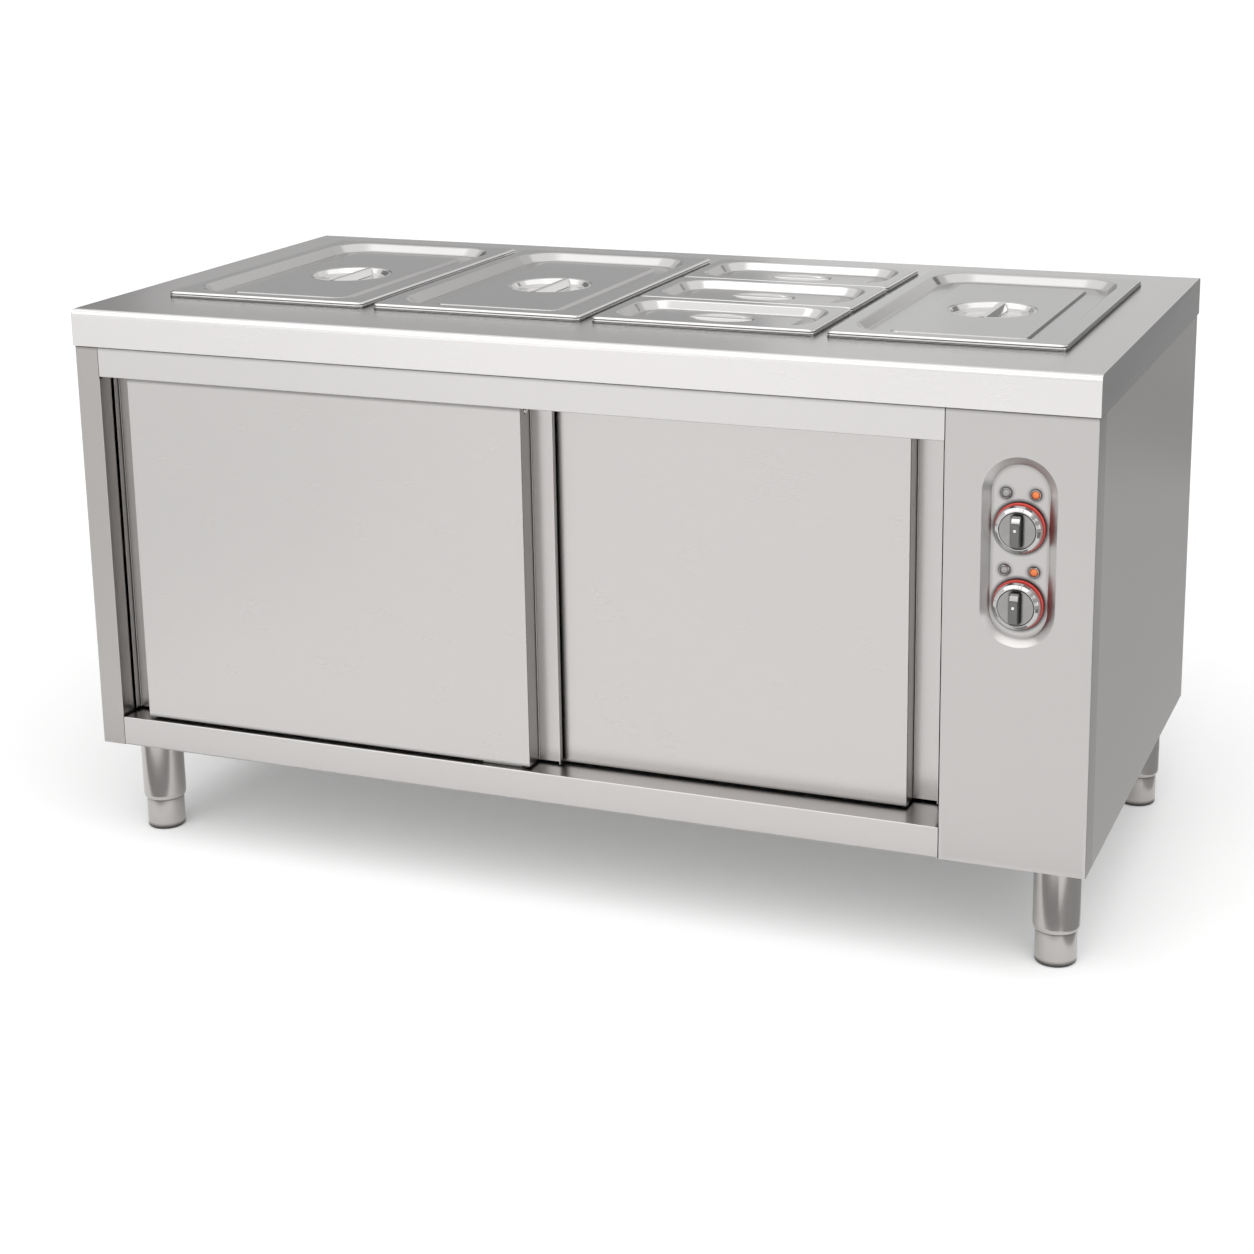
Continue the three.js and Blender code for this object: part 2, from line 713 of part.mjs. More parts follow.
function makeDrainValve() {
  const { top, ballTop, ballBottom, middle, end } = valveHeights();
  const { flangeRadius, flange, neckRadius, ballRadius, bore } = valveProfile;
  const body = turned([
    [0, end], [neckRadius, end], [neckRadius, ballBottom], [ballRadius - sheet, ballBottom + sheet],
    [ballRadius, middle], [ballRadius - sheet, ballTop - sheet], [neckRadius, ballTop],
    [neckRadius, top - flange], [flangeRadius, top - flange], [flangeRadius, top], [0, top]],
  'Z', [drainX, drainY], roundSides);
  const boss = rod(
    'Y', leverHalf, [drainX, middle], [drainY - ballRadius - sheet, drainY], smallRoundSides);
  const hollow = rod('Z', bore, [drainX, drainY], [end - overrun, ballBottom], smallRoundSides);
  return body.add(boss).subtract(hollow);
}

function makeDrainLever() {
  const { middle } = valveHeights();
  const back = drainY - valveProfile.ballRadius - sheet - seatGap;
  const hub = rod('Y', leverHubRadius, [drainX, middle], [back - leverHubDepth, back], leverHubSides);
  const arm = block(
    [drainX, drainX + leverLength],
    [back - leverHubDepth, back - leverHubDepth + leverThickness], [middle - leverHalf, middle + leverHalf]);
  return hub.add(arm);
}

// Terminal block, cable gland and wiring in the control compartment
const terminalOffset = 10;
const terminalX = controlX + terminalOffset;
const terminalY = -40;
const terminalHalfX = 40;
const terminalHalfY = 20;
const terminalHeight = 22;
const terminalFin = 8;
const terminalWays = 5;

function makeTerminalBlock() {
  const base = block(
    [terminalX - terminalHalfX, terminalX + terminalHalfX],
    [terminalY - terminalHalfY, terminalY + terminalHalfY], [floorSeat, floorSeat + terminalHeight]);
  const pitch = 2 * terminalHalfX / terminalWays;
  const fins = Array.from({ length: terminalWays + 1 }, (_, i) => {
    const x = terminalX - terminalHalfX + i * pitch;
    return block(
      [x - sheet, x + sheet], [terminalY - terminalHalfY, terminalY + terminalHalfY],
      [floorSeat, floorSeat + terminalHeight + terminalFin]);
  });
  return joined([base, ...fins]);
}

const glandRise = 85;
const glandX = terminalX;
const glandZ = undersideHeight + glandRise;
const glandRadius = 12;
const glandStem = 8;
const glandBore = 4.5;
const glandReach = 18;
const glandFlange = 5;
const glandNut = 6;

function makeCableGland() {
  const seat = backPanelFace + seatGap;
  const nut = insideBack;
  return turned([
    [glandBore, nut - glandNut], [glandRadius, nut - glandNut], [glandRadius, nut], [glandStem, nut],
    [glandStem, seat], [glandRadius, seat], [glandRadius, seat + glandFlange],
    [glandStem + sheet, seat + glandFlange], [glandStem, seat + glandReach],
    [glandBore, seat + glandReach], [glandBore, nut - glandNut]],
  'Y', [glandX, glandZ], roundSides);
}

function makeBackPanel() {
  const plate = block(
    [-insideSide, insideSide], [backPanelFace - sheet, backPanelFace], [floorSeat, panelTop]);
  const through = [backPanelFace - overrun, backPanelFace + overrun];
  const hole = rod('Y', glandStem + seatGap, [glandX, glandZ], through, roundSides);
  return plate.subtract(hole);
}

const loomRadius = 4;
const loomSides = 8;
const loomLead = 30;
const loomRise = 12;
const loomSteps = 14;

// A wiring loom leaves and arrives level, towards the front
function loomBetween(from, to, middle) {
  const lead = new THREE.Vector3(0, loomLead, 0);
  const curve = new THREE.CatmullRomCurve3([from.clone().sub(lead), middle, to.clone().add(lead)]);
  return tubeAlong([from, ...curve.getPoints(loomSteps), to], loomRadius, loomSides);
}

function makeSupplyWiring() {
  const from = new THREE.Vector3(glandX, insideBack - seatGap - glandNut, glandZ);
  const to = new THREE.Vector3(glandX, terminalY + terminalHalfY + seatGap, floorSeat + loomRise);
  return loomBetween(from, to, new THREE.Vector3(glandX, (from.y + to.y) / 2, to.z));
}

function makeControlWiring() {
  const [x, z] = knobPlaces[1];
  const back = recessFloor + sheet + 2 * seatGap + bossLength + thermostatDepth;
  const from = new THREE.Vector3(terminalX, terminalY - terminalHalfY - seatGap, floorSeat + loomRise);
  const to = new THREE.Vector3(x + thermostatHalf / 2, back, z - thermostatHalf / 2);
  return loomBetween(from, to, new THREE.Vector3(to.x, to.y + 2 * loomLead, (from.z + to.z) / 2));
}

// Bezel rings, dial knobs and pilot lamps
const bezelRadius = 33.3;
const bezelThickness = 4;
const bezelBore = 5;
const knobBaseRadius = 31;
const knobFaceRadius = 25;
const knobDepth = 13;
const knobClearance = 0.5;
const gripHalfWide = 6;
const gripHalfHigh = 21;
const gripReach = 12;
const lampRimRadius = 7;
const lampRim = 2;
const lampLensRadius = 5.2;
const lampDome = 3;
const lampBarrel = 25;
const dialSides = 28;
const lampSides = 14;
const bezelFront = recessFloor - seatGap - bezelThickness;
const knobBack = bezelFront - knobClearance;
const knobFace = knobBack - knobDepth;

function makeBezel([x, z]) {
  const back = recessFloor - seatGap;
  return turned([
    [bezelBore, back], [bezelRadius, back], [bezelRadius, bezelFront + sheet],
    [bezelRadius - sheet, bezelFront], [bezelBore, bezelFront], [bezelBore, back]], 'Y', [x, z], dialSides);
}

function makeKnob([x, z]) {
  const spindleEnd = recessFloor + sheet + seatGap + spindleReach;
  const body = turned([
    [0, spindleEnd], [spindleRadius, spindleEnd], [spindleRadius, knobBack], [knobBaseRadius, knobBack],
    [knobBaseRadius, knobBack - sheet], [knobFaceRadius, knobFace], [0, knobFace]],
  'Y', [x, z], dialSides);
  const grip = block(
    [x - gripHalfWide, x + gripHalfWide], [knobFace - gripReach, knobFace + sheet],
    [z - gripHalfHigh, z + gripHalfHigh]);
  return body.add(grip);
}

function makeLamp([x, z]) {
  const barrel = lampHoleRadius - seatGap;
  const seat = recessFloor - seatGap;
  const lens = seat - lampRim;
  return turned([
    [0, seat + lampBarrel], [barrel, seat + lampBarrel], [barrel, seat], [lampRimRadius, seat],
    [lampRimRadius - lampRim / 2, lens], [lampLensRadius, lens],
    [lampLensRadius / 2, lens - lampDome], [0, lens - lampDome]], 'Y', [x, z], lampSides);
}

// Legs: a fixed sleeve with a stud, and an adjustable insert that stands on the floor
const sleeveRadius = 32;
const sleeveWall = 3.2;
const sleeveBottom = 48;
const sleeveFlange = 34;
const sleeveFlangeHeight = 3;
const sleeveTaper = 5;
const sleeveTaperInset = 2;
const studHeight = 20;
const insertRadius = 28.4;
const insertBase = 2;
const insertTop = 92;
const legSides = 20;

function makeSleeve(place) {
  const top = undersideHeight - seatGap;
  const bore = sleeveRadius - sleeveWall;
  return turned([
    [0, undersideHeight + studHeight], [studRadius, undersideHeight + studHeight], [studRadius, top],
    [sleeveFlange, top], [sleeveFlange, top - sleeveFlangeHeight],
    [sleeveRadius, top - sleeveFlangeHeight], [sleeveRadius, sleeveBottom + sleeveTaper],
    [sleeveRadius - sleeveTaperInset, sleeveBottom], [bore, sleeveBottom],
    [bore, top - 2 * sleeveFlangeHeight], [0, top - 2 * sleeveFlangeHeight]], 'Z', place, legSides);
}

function makeInsert(place) {
  return turned([
    [0, 0], [insertRadius - insertBase, 0], [insertRadius, insertBase],
    [insertRadius, insertTop - insertBase], [insertRadius - insertBase, insertTop], [0, insertTop]],
  'Z', place, legSides);
}

// Forms of the two container sizes, as a pan and its lid share them
const fullForm = {
  shortSide: 325, corner: 45, draft: 12, fillet: 12,
  rim: 22, slope: 12, recessCorner: 56, trayCorner: 48, panel: 54, panelSlope: 4, panelCorner: 14,
  dishHalves: [62, 62], barHalf: 9,
};
const thirdForm = {
  shortSide: 176, corner: 45, draft: 12, fillet: 12,
  rim: 18, slope: 11, recessCorner: 46, trayCorner: 38, panel: 40, panelSlope: 4, panelCorner: 14,
  dishHalves: [46, 27], barHalf: 8,
};

// A container's form follows its shorter side
function fittedForm(size, form) {
  const ratio = Math.min(...size) / form.shortSide;
  const fitted = Object.entries(form).map(([key, length]) => [
    key, Array.isArray(length) ? length.map((half) => half * ratio) : length * ratio]);
  return Object.fromEntries(fitted);
}

// Gastronorm pans: a thin shell with a flat rim that rests on the worktop
const panRim = 11.5;
const panSeat = counterHeight + seatGap;
const panTop = panSeat + panGauge;
const panBottom = panTop - panDepth;

function ringAt(size, place, inset, corner, z) {
  const outline = roundedRect(size[0] - 2 * inset, size[1] - 2 * inset, corner);
  return { outline: placedOutline(outline, place), z };
}

function makePan(size, place, { corner, draft, fillet }) {
  const ring = (inset, radius, z) => ringAt(size, place, inset, radius, z);
  const innerWall = panRim + panGauge;
  return loft([
    ring(innerWall + draft + fillet, corner - fillet, panBottom + panGauge),
    ring(innerWall + draft, corner, panBottom + fillet),
    ring(innerWall, corner, panTop),
    ring(0, rimCorner, panTop),
    ring(0, rimCorner, panSeat),
    ring(panRim, corner, panSeat),
    ring(panRim + draft, corner, panBottom + fillet - panGauge),
    ring(panRim + draft + fillet, corner - fillet, panBottom)], 'Z');
}

// Lids: a rim band, a sunk tray, a raised middle with a dish, and a bar across the dish
const lidGauge = 1;
const lidBand = 7;
const lidEdge = 1.5;
const trayDepth = 12;
const raise = 4;
const dishStep = 9;
const dishDepth = 13;
const dishShoulder = 6;
const dishFloorInset = 16;
const barThickness = 3;
const barEndGap = 0.5;
const lidSeat = panTop + seatGap;
const lidTop = lidSeat + lidBand;

function lidSurface(size, place, form, drop) {
  const tray = lidTop - trayDepth - drop;
  const panel = tray + raise;
  const ring = (inset, corner, z) => ringAt(size, place, inset, corner, z);
  const dish = (inset, z) => ({
    outline: placedOutline(ellipse(...form.dishHalves.map((half) => half - inset)), place), z });
  return [
    dish(dishFloorInset, panel - dishDepth), dish(dishShoulder, panel - dishStep), dish(0, panel),
    ring(form.panel + form.panelSlope, form.panelCorner, panel),
    ring(form.panel, form.panelCorner, tray),
    ring(form.rim + form.slope, form.trayCorner, tray),
    ring(form.rim, form.recessCorner, lidTop - drop)];
}

function makeLid(size, place, form) {
  const upper = lidSurface(size, place, form, 0);
  const under = lidSurface(size, place, form, lidGauge);
  const edge = [
    ringAt(size, place, lidEdge, rimCorner, lidTop), ringAt(size, place, 0, rimCorner, lidTop - lidEdge),
    ringAt(size, place, 0, rimCorner, lidSeat), ringAt(size, place, lidGauge, rimCorner, lidSeat),
    ringAt(size, place, lidGauge, rimCorner, lidTop - lidEdge)];
  const shell = loft([...upper, ...edge, ...under.reverse()], 'Z');
  const panel = lidTop - trayDepth + raise;
  const reaches = form.dishHalves.map((half) => half - barEndGap);
  const halves = size[1] > size[0] ? [form.barHalf, reaches[1]] : [reaches[0], form.barHalf];
  const bar = block(
    [place[0] - halves[0], place[0] + halves[0]], [place[1] - halves[1], place[1] + halves[1]],
    [panel - barThickness, panel]);
  return shell.add(bar);
}

function containers() {
  const thirdPitch = fullLength / thirdCount;
  const full = [0, 1, 3].map((well, i) => ({
    name: `full_${['left', 'centre', 'right'][i]}`,
    size: [fullWidth, fullLength], place: wellCentre(well), form: fullForm }));
  const [thirdX] = wellCentre(2);
  const third = ['front', 'middle', 'back'].map((name, i) => ({
    name: `third_${name}`, size: [fullWidth, thirdPitch - thirdGap],
    place: [thirdX, wellFront + (i + 1 / 2) * thirdPitch], form: thirdForm }));
  return [...full, ...third];
}

// The counter, put together with its origin below the middle of its box
const frontReach = -(knobFace - gripReach);
const backReach = backPanelFace + seatGap + glandReach;
const counter = new THREE.Group();
counter.position.set(0, (frontReach - backReach) / 2, 0);

function fit(name, solid, finish) {
  counter.add(meshOf(name, solid, finish));
}

function fitBody() {
  fit('worktop', makeWorktop(), brushedSteel);
  fit('left_side_panel', makeLeftSidePanel(), brushedSteel);
  fit('right_side_panel', makeRightSidePanel(), brushedSteel);
  fit('back_panel', makeBackPanel(), brushedSteel);
  fit('control_panel', makeControlPanel(), brushedSteel);
  fit('top_rail', makeTopRail(), brushedSteel);
  fit('bottom_rail', makeBottomRail(), brushedSteel);
  fit('underside_panel', makeUndersidePanel(), galvanised);
  fit('cupboard_floor', makeCupboardFloor(), brushedSteel);
  fit('middle_shelf', makeMiddleShelf(), brushedSteel);
  fit('partition', makePartition(), brushedSteel);
}

function fitDoors() {
  const rearDoorY = frontDoorY + trackPitch;
  fit('door_track', makeDoorTrack(), galvanised);
  fit('door_guide', makeDoorGuide(), whiteNylon);
  fit('left_door', makeDoor(frontDoorLeft, frontDoorY), brushedSteel);
  fit('left_door_liner', makeDoorLiner(frontDoorLeft, frontDoorY), brushedSteel);
  fit('left_door_hanger', makeHanger(frontDoorLeft, frontDoorY), whiteNylon);
  fit('right_door', makeDoor(rearDoorLeft, rearDoorY), brushedSteel);
  fit('right_door_liner', makeDoorLiner(rearDoorLeft, rearDoorY), brushedSteel);
  fit('right_door_hanger', makeHanger(rearDoorLeft, rearDoorY), whiteNylon);
}

// Ways of the two capillaries, as offsets from the control's middle, the body's front and the bulb
const bulbSeat = tankFront - seatGap - bulbRadius;
const upperBulbRise = 76;
const upperWay = [[0, 83, -66], [-20, 105, -16]];
const lowerWay = [[-30, 93, 35], [-60, 153, 10]];
const upperBulbX = -60;
const lowerBulbX = -110;
const lowerBulbLead = 13;

function capillaryStations(way, bulb, lead) {
  const turns = way.map(([x, y, z]) => new THREE.Vector3(controlX + x, frontFace + y, bulb.z + z));
  return [...turns, ...(lead ? [bulb.clone().add(new THREE.Vector3(lead, 0, 0))] : []), bulb];
}

function fitHeating() {
  const upperBulb = new THREE.Vector3(controlX + upperBulbX, bulbSeat, tankBottom + upperBulbRise);
  const lowerBulb = new THREE.Vector3(controlX + lowerBulbX, ...cupboardBulbHole);
  const ways = [
    capillaryStations(upperWay, upperBulb, 0), capillaryStations(lowerWay, lowerBulb, lowerBulbLead)];
  fit('water_tank', makeWaterTank(), brushedSteel);
  fit('tank_element', makeTankElement(), elementSheath);
  fit('cupboard_element', makeCupboardElement(), elementSheath);
  fit('element_guard', makeElementGuard(), brushedSteel);
  fit('upper_thermostat', makeThermostat(knobPlaces[0], ways[0]), blackPlastic);
  fit('lower_thermostat', makeThermostat(knobPlaces[1], ways[1]), blackPlastic);
  fit('terminal_block', makeTerminalBlock(), blackPlastic);
  fit('cable_gland', makeCableGland(), blackPlastic);
  fit('supply_wiring', makeSupplyWiring(), blackPlastic);
  fit('control_wiring', makeControlWiring(), blackPlastic);
  fit('drain_valve', makeDrainValve(), brass);
  fit('drain_lever', makeDrainLever(), redPlastic);
}

function fitControls() {
  ['upper', 'lower'].forEach((level, i) => {
    fit(`${level}_bezel`, makeBezel(knobPlaces[i]), redPlastic);
    fit(`${level}_knob`, makeKnob(knobPlaces[i]), chrome);
    fit(`${level}_left_lamp`, makeLamp(lampPlaces[2 * i]), clearLens);
    fit(`${level}_right_lamp`, makeLamp(lampPlaces[2 * i + 1]), amberLens);
  });
}

function fitLegs() {
  const names = ['front_left', 'front_right', 'back_left', 'back_right'];
  mirroredCorners(legX, legY).forEach((place, i) => {
    fit(`${names[i]}_sleeve`, makeSleeve(place), brushedSteel);
    fit(`${names[i]}_foot`, makeInsert(place), brushedSteel);
  });
}

function fitContainers() {
  for (const { name, size, place, form } of containers()) {
    const fitted = fittedForm(size, form);
    fit(`${name}_pan`, makePan(size, place, fitted), panSteel);
    fit(`${name}_lid`, makeLid(size, place, fitted), panSteel);
  }
}

fitBody();
fitDoors();
fitHeating();
fitControls();
fitLegs();
fitContainers();

export default counter;
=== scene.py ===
"""Looks of a bain marie counter: a stainless hot cupboard with sliding doors and lidded pans.

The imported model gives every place. Lengths are in metres; sizes written in millimetres carry MM.
"""

import logging
import math
from collections.abc import Callable, Iterable, Sequence
from dataclasses import dataclass
from enum import Enum
from typing import Any

import bmesh
import bpy
from mathutils import Matrix, Vector


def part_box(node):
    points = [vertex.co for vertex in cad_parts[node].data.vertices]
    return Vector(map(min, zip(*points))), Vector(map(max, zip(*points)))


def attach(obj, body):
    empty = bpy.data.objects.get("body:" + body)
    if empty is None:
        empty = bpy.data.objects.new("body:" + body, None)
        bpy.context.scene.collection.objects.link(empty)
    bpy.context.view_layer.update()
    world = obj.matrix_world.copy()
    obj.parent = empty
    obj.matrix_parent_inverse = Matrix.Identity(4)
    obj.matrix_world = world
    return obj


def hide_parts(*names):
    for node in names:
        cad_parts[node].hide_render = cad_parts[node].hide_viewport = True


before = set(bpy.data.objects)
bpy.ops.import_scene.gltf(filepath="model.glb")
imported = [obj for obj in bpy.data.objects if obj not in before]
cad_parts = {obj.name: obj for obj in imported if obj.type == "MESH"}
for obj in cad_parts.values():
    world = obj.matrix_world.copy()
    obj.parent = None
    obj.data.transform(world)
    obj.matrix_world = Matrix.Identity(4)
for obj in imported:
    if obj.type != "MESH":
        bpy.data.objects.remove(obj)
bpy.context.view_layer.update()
MM = 0.001
TURN = 2 * math.pi
IMAGE = 1254  # width and height of the photograph in pixels
WHITE = (1.0, 1.0, 1.0, 1.0)
CREASE = 38.0  # edges sharper than this stay crisp, in degrees
SQUARE = 0.8  # a face counts as square to an axis when its normal has this much of it
SMALL_SIDES = 24
CORNER_STEPS = 8
CARCASS = "carcass"
log = logging.getLogger("bain_marie_counter")
Numbers = Sequence[float]
Path = Sequence[Numbers]
Triple = tuple[float, float, float]


# Shader nodes


def feed(socket: bpy.types.NodeSocket, value: Any) -> None:
    """Link a signal or socket to an input, or set its value.

    Args:
        socket: the input.
        value: a signal, a socket or a plain value.
    """
    if isinstance(value, Signal):
        value = value.socket
    if isinstance(value, bpy.types.NodeSocket):
        socket.id_data.links.new(value, socket)
    else:
        socket.default_value = value


class Signal:
    """A number that a shader node gives out, usable in Python arithmetic."""

    def __init__(self, socket: bpy.types.NodeSocket) -> None:
        """Keep the socket."""
        self.socket = socket

    def _math(self, operation: str, first: "Signal | float", second: "Signal | float") -> "Signal":
        """Add one Math node.

        Args:
            operation: the Math node's operation.
            first: its first value or signal.
            second: its second value or signal.

        Returns:
            The node's result.
        """
        node = self.socket.id_data.nodes.new("ShaderNodeMath")
        node.operation = operation
        for socket, value in zip(node.inputs, (first, second)):
            feed(socket, value)
        return Signal(node.outputs[0])

    def __add__(self, other: "Signal | float") -> "Signal":
        """Sum."""
        return self._math("ADD", self, other)

    def __radd__(self, other: float) -> "Signal":
        """Sum with a number in front."""
        return self._math("ADD", other, self)

    def __sub__(self, other: "Signal | float") -> "Signal":
        """Difference."""
        return self._math("SUBTRACT", self, other)

    def __rsub__(self, other: float) -> "Signal":
        """Difference from a number in front."""
        return self._math("SUBTRACT", other, self)

    def __mul__(self, other: "Signal | float") -> "Signal":
        """Product."""
        return self._math("MULTIPLY", self, other)

    def __rmul__(self, other: float) -> "Signal":
        """Product with a number in front."""
        return self._math("MULTIPLY", other, self)

    def __or__(self, other: "Signal | float") -> "Signal":
        """The larger of the two."""
        return self._math("MAXIMUM", self, other)

    def __ror__(self, other: float) -> "Signal":
        """The larger of the two, with a number in front."""
        return self._math("MAXIMUM", other, self)

    def __and__(self, other: "Signal | float") -> "Signal":
        """The smaller of the two."""
        return self._math("MINIMUM", self, other)

    def __rand__(self, other: float) -> "Signal":
        """The smaller of the two, with a number in front."""
        return self._math("MINIMUM", other, self)

    def swing(self, amount: float) -> "Signal":
        """A signal from 0 to 1 made to swing about 0 by an amount."""
        return (self - 0.5) * amount


class Nodes:
    """Puts nodes into one tree."""

    def __init__(self, tree: bpy.types.NodeTree) -> None:
        """Start with an empty tree."""
        self.tree = tree
        tree.nodes.clear()

    def node(self, kind: str, settings: dict[str, Any] | None = None,
             sockets: dict[str | int, Any] | None = None) -> bpy.types.Node:
        """Add a node.

        Args:
            kind: the node's type.
            settings: its properties, set first.
            sockets: values, sockets or signals for its inputs.

        Returns:
            The node.
        """
        node = self.tree.nodes.new(kind)
        for key, value in (settings or {}).items():
            setattr(node, key, value)
        for key, value in (sockets or {}).items():
            feed(node.inputs[key], value)
        return node

    def seen(self) -> Signal:
        """Tell which rays show the background: from the camera, off metal or through glass.

        Returns:
            1 for those rays, else 0.
        """
        rays = self.node("ShaderNodeLightPath").outputs
        seen = Signal(rays["Is Camera Ray"]) | Signal(rays["Is Glossy Ray"])
        return seen | Signal(rays["Is Transmission Ray"])


class Recipe(Nodes):
    """The nodes of one material."""

    EDGES = (0.53, 0.6)

    def __init__(self, name: str) -> None:
        """Start a material with its shader and output.

        Args:
            name: the material's name.
        """
        self.material = bpy.data.materials.new(name)
        self.material.use_nodes = True
        super().__init__(self.material.node_tree)
        self.surface = self.node("ShaderNodeBsdfPrincipled")
        self.output = self.node(
            "ShaderNodeOutputMaterial", sockets={"Surface": self.surface.outputs[0]})
        self.place = self.node("ShaderNodeTexCoord").outputs["Object"]

    def noise(self, density: Numbers, detail: float = 2.0) -> Signal:
        """Noise over the object.

        Args:
            density: how many waves there are in a metre along X, Y and Z.
            detail: how many finer layers it has.

        Returns:
            The noise, about 0.5 on average.
        """
        stretched = self.node(
            "ShaderNodeVectorMath", {"operation": "MULTIPLY"}, {0: self.place, 1: density})
        return Signal(self.node("ShaderNodeTexNoise", sockets={
            "Vector": stretched.outputs[0], "Scale": 1.0, "Detail": detail}).outputs[0])

    def edges(self) -> Signal:
        """Find where edges stand out.

        Returns:
            From 0 on faces to 1 on edges.
        """
        geometry = self.node("ShaderNodeNewGeometry")
        low, high = self.EDGES
        pointed = self.node("ShaderNodeMapRange", sockets={
            "Value": geometry.outputs["Pointiness"], "From Min": low, "From Max": high})
        return Signal(pointed.outputs[0])

    def seams(self, reach: float) -> Signal:
        """How deep in a seam or corner the surface lies, from 0 to 1."""
        node = self.node("ShaderNodeAmbientOcclusion", {"samples": 8}, {"Distance": reach})
        return 1.0 - Signal(node.outputs["AO"])

    def mixed(self, share: Signal, first: Any, second: Any) -> bpy.types.NodeSocket:
        """One colour mixed into another by a share."""
        node = self.node("ShaderNodeMix", {"data_type": "RGBA"}, {0: share, 6: first, 7: second})
        return node.outputs[2]

    def relief(self, height: Signal, strength: float, distance: float) -> None:
        """Let a height shape the surface's normal."""
        sockets = {"Height": height, "Strength": strength, "Distance": distance}
        self.set(Normal=self.node("ShaderNodeBump", None, sockets).outputs[0])

    def glow(self, strength: Signal | float) -> bpy.types.NodeSocket:
        """White light of its own."""
        light = self.node("ShaderNodeEmission", None, {"Color": WHITE, "Strength": strength})
        return light.outputs[0]

    def set(self, **values: Any) -> None:
        """Set the shader's inputs; an underscore in a name stands for a space."""
        for key, value in values.items():
            feed(self.surface.inputs[key.replace("_", " ")], value)


# Finishes


class Grain(Enum):
    """Direction of the polishing marks: the density of the marks along X, Y and Z."""

    ALONG_X = (7.0, 760.0, 760.0)
    ALONG_Y = (760.0, 7.0, 760.0)
    ALONG_Z = (760.0, 760.0, 7.0)
    EVEN = (260.0, 260.0, 260.0)


@dataclass(frozen=True)
class Coating:
    """What all finishes share: the material's name, the slot that it fills, and its colour."""

    name: str
    slot: str
    colour: Triple

    def material(self) -> bpy.types.Material:
        """The finish's material, made once."""
        return bpy.data.materials.get(self.name) or self.made(Recipe(self.name))

    def made(self, recipe: Recipe) -> bpy.types.Material:
        """Lay the finish's nodes; every kind of finish has its own way."""
        raise NotImplementedError(recipe.material.name)

    def shade(self, factor: float) -> tuple[float, ...]:
        """The colour made lighter or darker, with full opacity."""
        return (*(min(channel * factor, 1.0) for channel in self.colour), 1.0)


@dataclass(frozen=True)
class Steel(Coating):
    """Polished metal: fine marks, faint clouds, edges lightened for wear and as a painted
    highlight, and painted shade in its seams and corners.
    """

    roughness: float = 0.3
    grain: Grain = Grain.ALONG_X
    marks: float = 0.03
    clouds: float = 0.06
    # Reach and strength of the painted shade that darkens seams and corners.
    seam: float = 0.005
    dirt: float = 3.0

    # The edge factors lighten edges, for wear and as a painted highlight; the seam factors darken
    # seams and corners as painted shade.
    DARKEST, LIGHTEST, WORN, DIRTY = 0.72, 1.28, 1.3, 0.1
    WEAR, MOST_DIRT = 0.35, 0.95
    SMEARS, SCRATCHES = 0.014, 0.015
    RELIEF = (0.08, 0.01 * MM)

    def made(self, recipe: Recipe) -> bpy.types.Material:
        """Lay the metal's nodes.

        Args:
            recipe: the new material's nodes.

        Returns:
            The material.
        """
        fine = recipe.noise(self.grain.value, 3.0)
        broad = recipe.noise((3.0, 3.0, 3.0), 3.0)
        smear = recipe.noise((14.0, 14.0, 14.0))
        tone = fine.swing(self.marks) + broad.swing(self.clouds) + 0.5
        plain = recipe.mixed(tone, self.shade(self.DARKEST), self.shade(self.LIGHTEST))
        # Edges lighten: partly wear, partly a painted highlight along folds.
        worn = recipe.mixed(recipe.edges() * self.WEAR, plain, self.shade(self.WORN))
        # Painted shade: an occlusion test darkens the colour in seams, corners and where parts
        # meet the floor.
        dirty = (recipe.seams(self.seam) * self.dirt) & self.MOST_DIRT
        recipe.set(Base_Color=recipe.mixed(dirty, worn, self.shade(self.DIRTY)), Metallic=1.0,
                   Roughness=(self.roughness + smear.swing(self.SMEARS)
                              + fine.swing(self.SCRATCHES)))
        recipe.relief(fine, *self.RELIEF)
        return recipe.material


@dataclass(frozen=True)
class Plastic(Coating):
    """Moulded plastic with a fine skin and a slight change of colour."""

    roughness: float = 0.4
    coat: float = 0.0

    # The edge factors lighten edges, for wear and as a painted highlight.
    DARKEST, LIGHTEST, WORN = 0.88, 1.1, 1.35
    WEAR, PORES = 0.3, 0.12
    RELIEF = (0.15, 0.2 * MM)

    def made(self, recipe: Recipe) -> bpy.types.Material:
        """Lay the plastic's nodes.

        Args:
            recipe: the new material's nodes.

        Returns:
            The material.
        """
        pores = recipe.noise((1400.0, 1400.0, 1400.0))
        drift = recipe.noise((60.0, 60.0, 60.0), 3.0)
        plain = recipe.mixed(drift, self.shade(self.DARKEST), self.shade(self.LIGHTEST))
        # Edges lighten: partly wear, partly a painted highlight.
        worn = recipe.mixed(recipe.edges() * self.WEAR, plain, self.shade(self.WORN))
        recipe.set(Base_Color=worn, Roughness=self.roughness + pores.swing(self.PORES),
                   Coat_Weight=self.coat)
        recipe.relief(pores, *self.RELIEF)
        return recipe.material


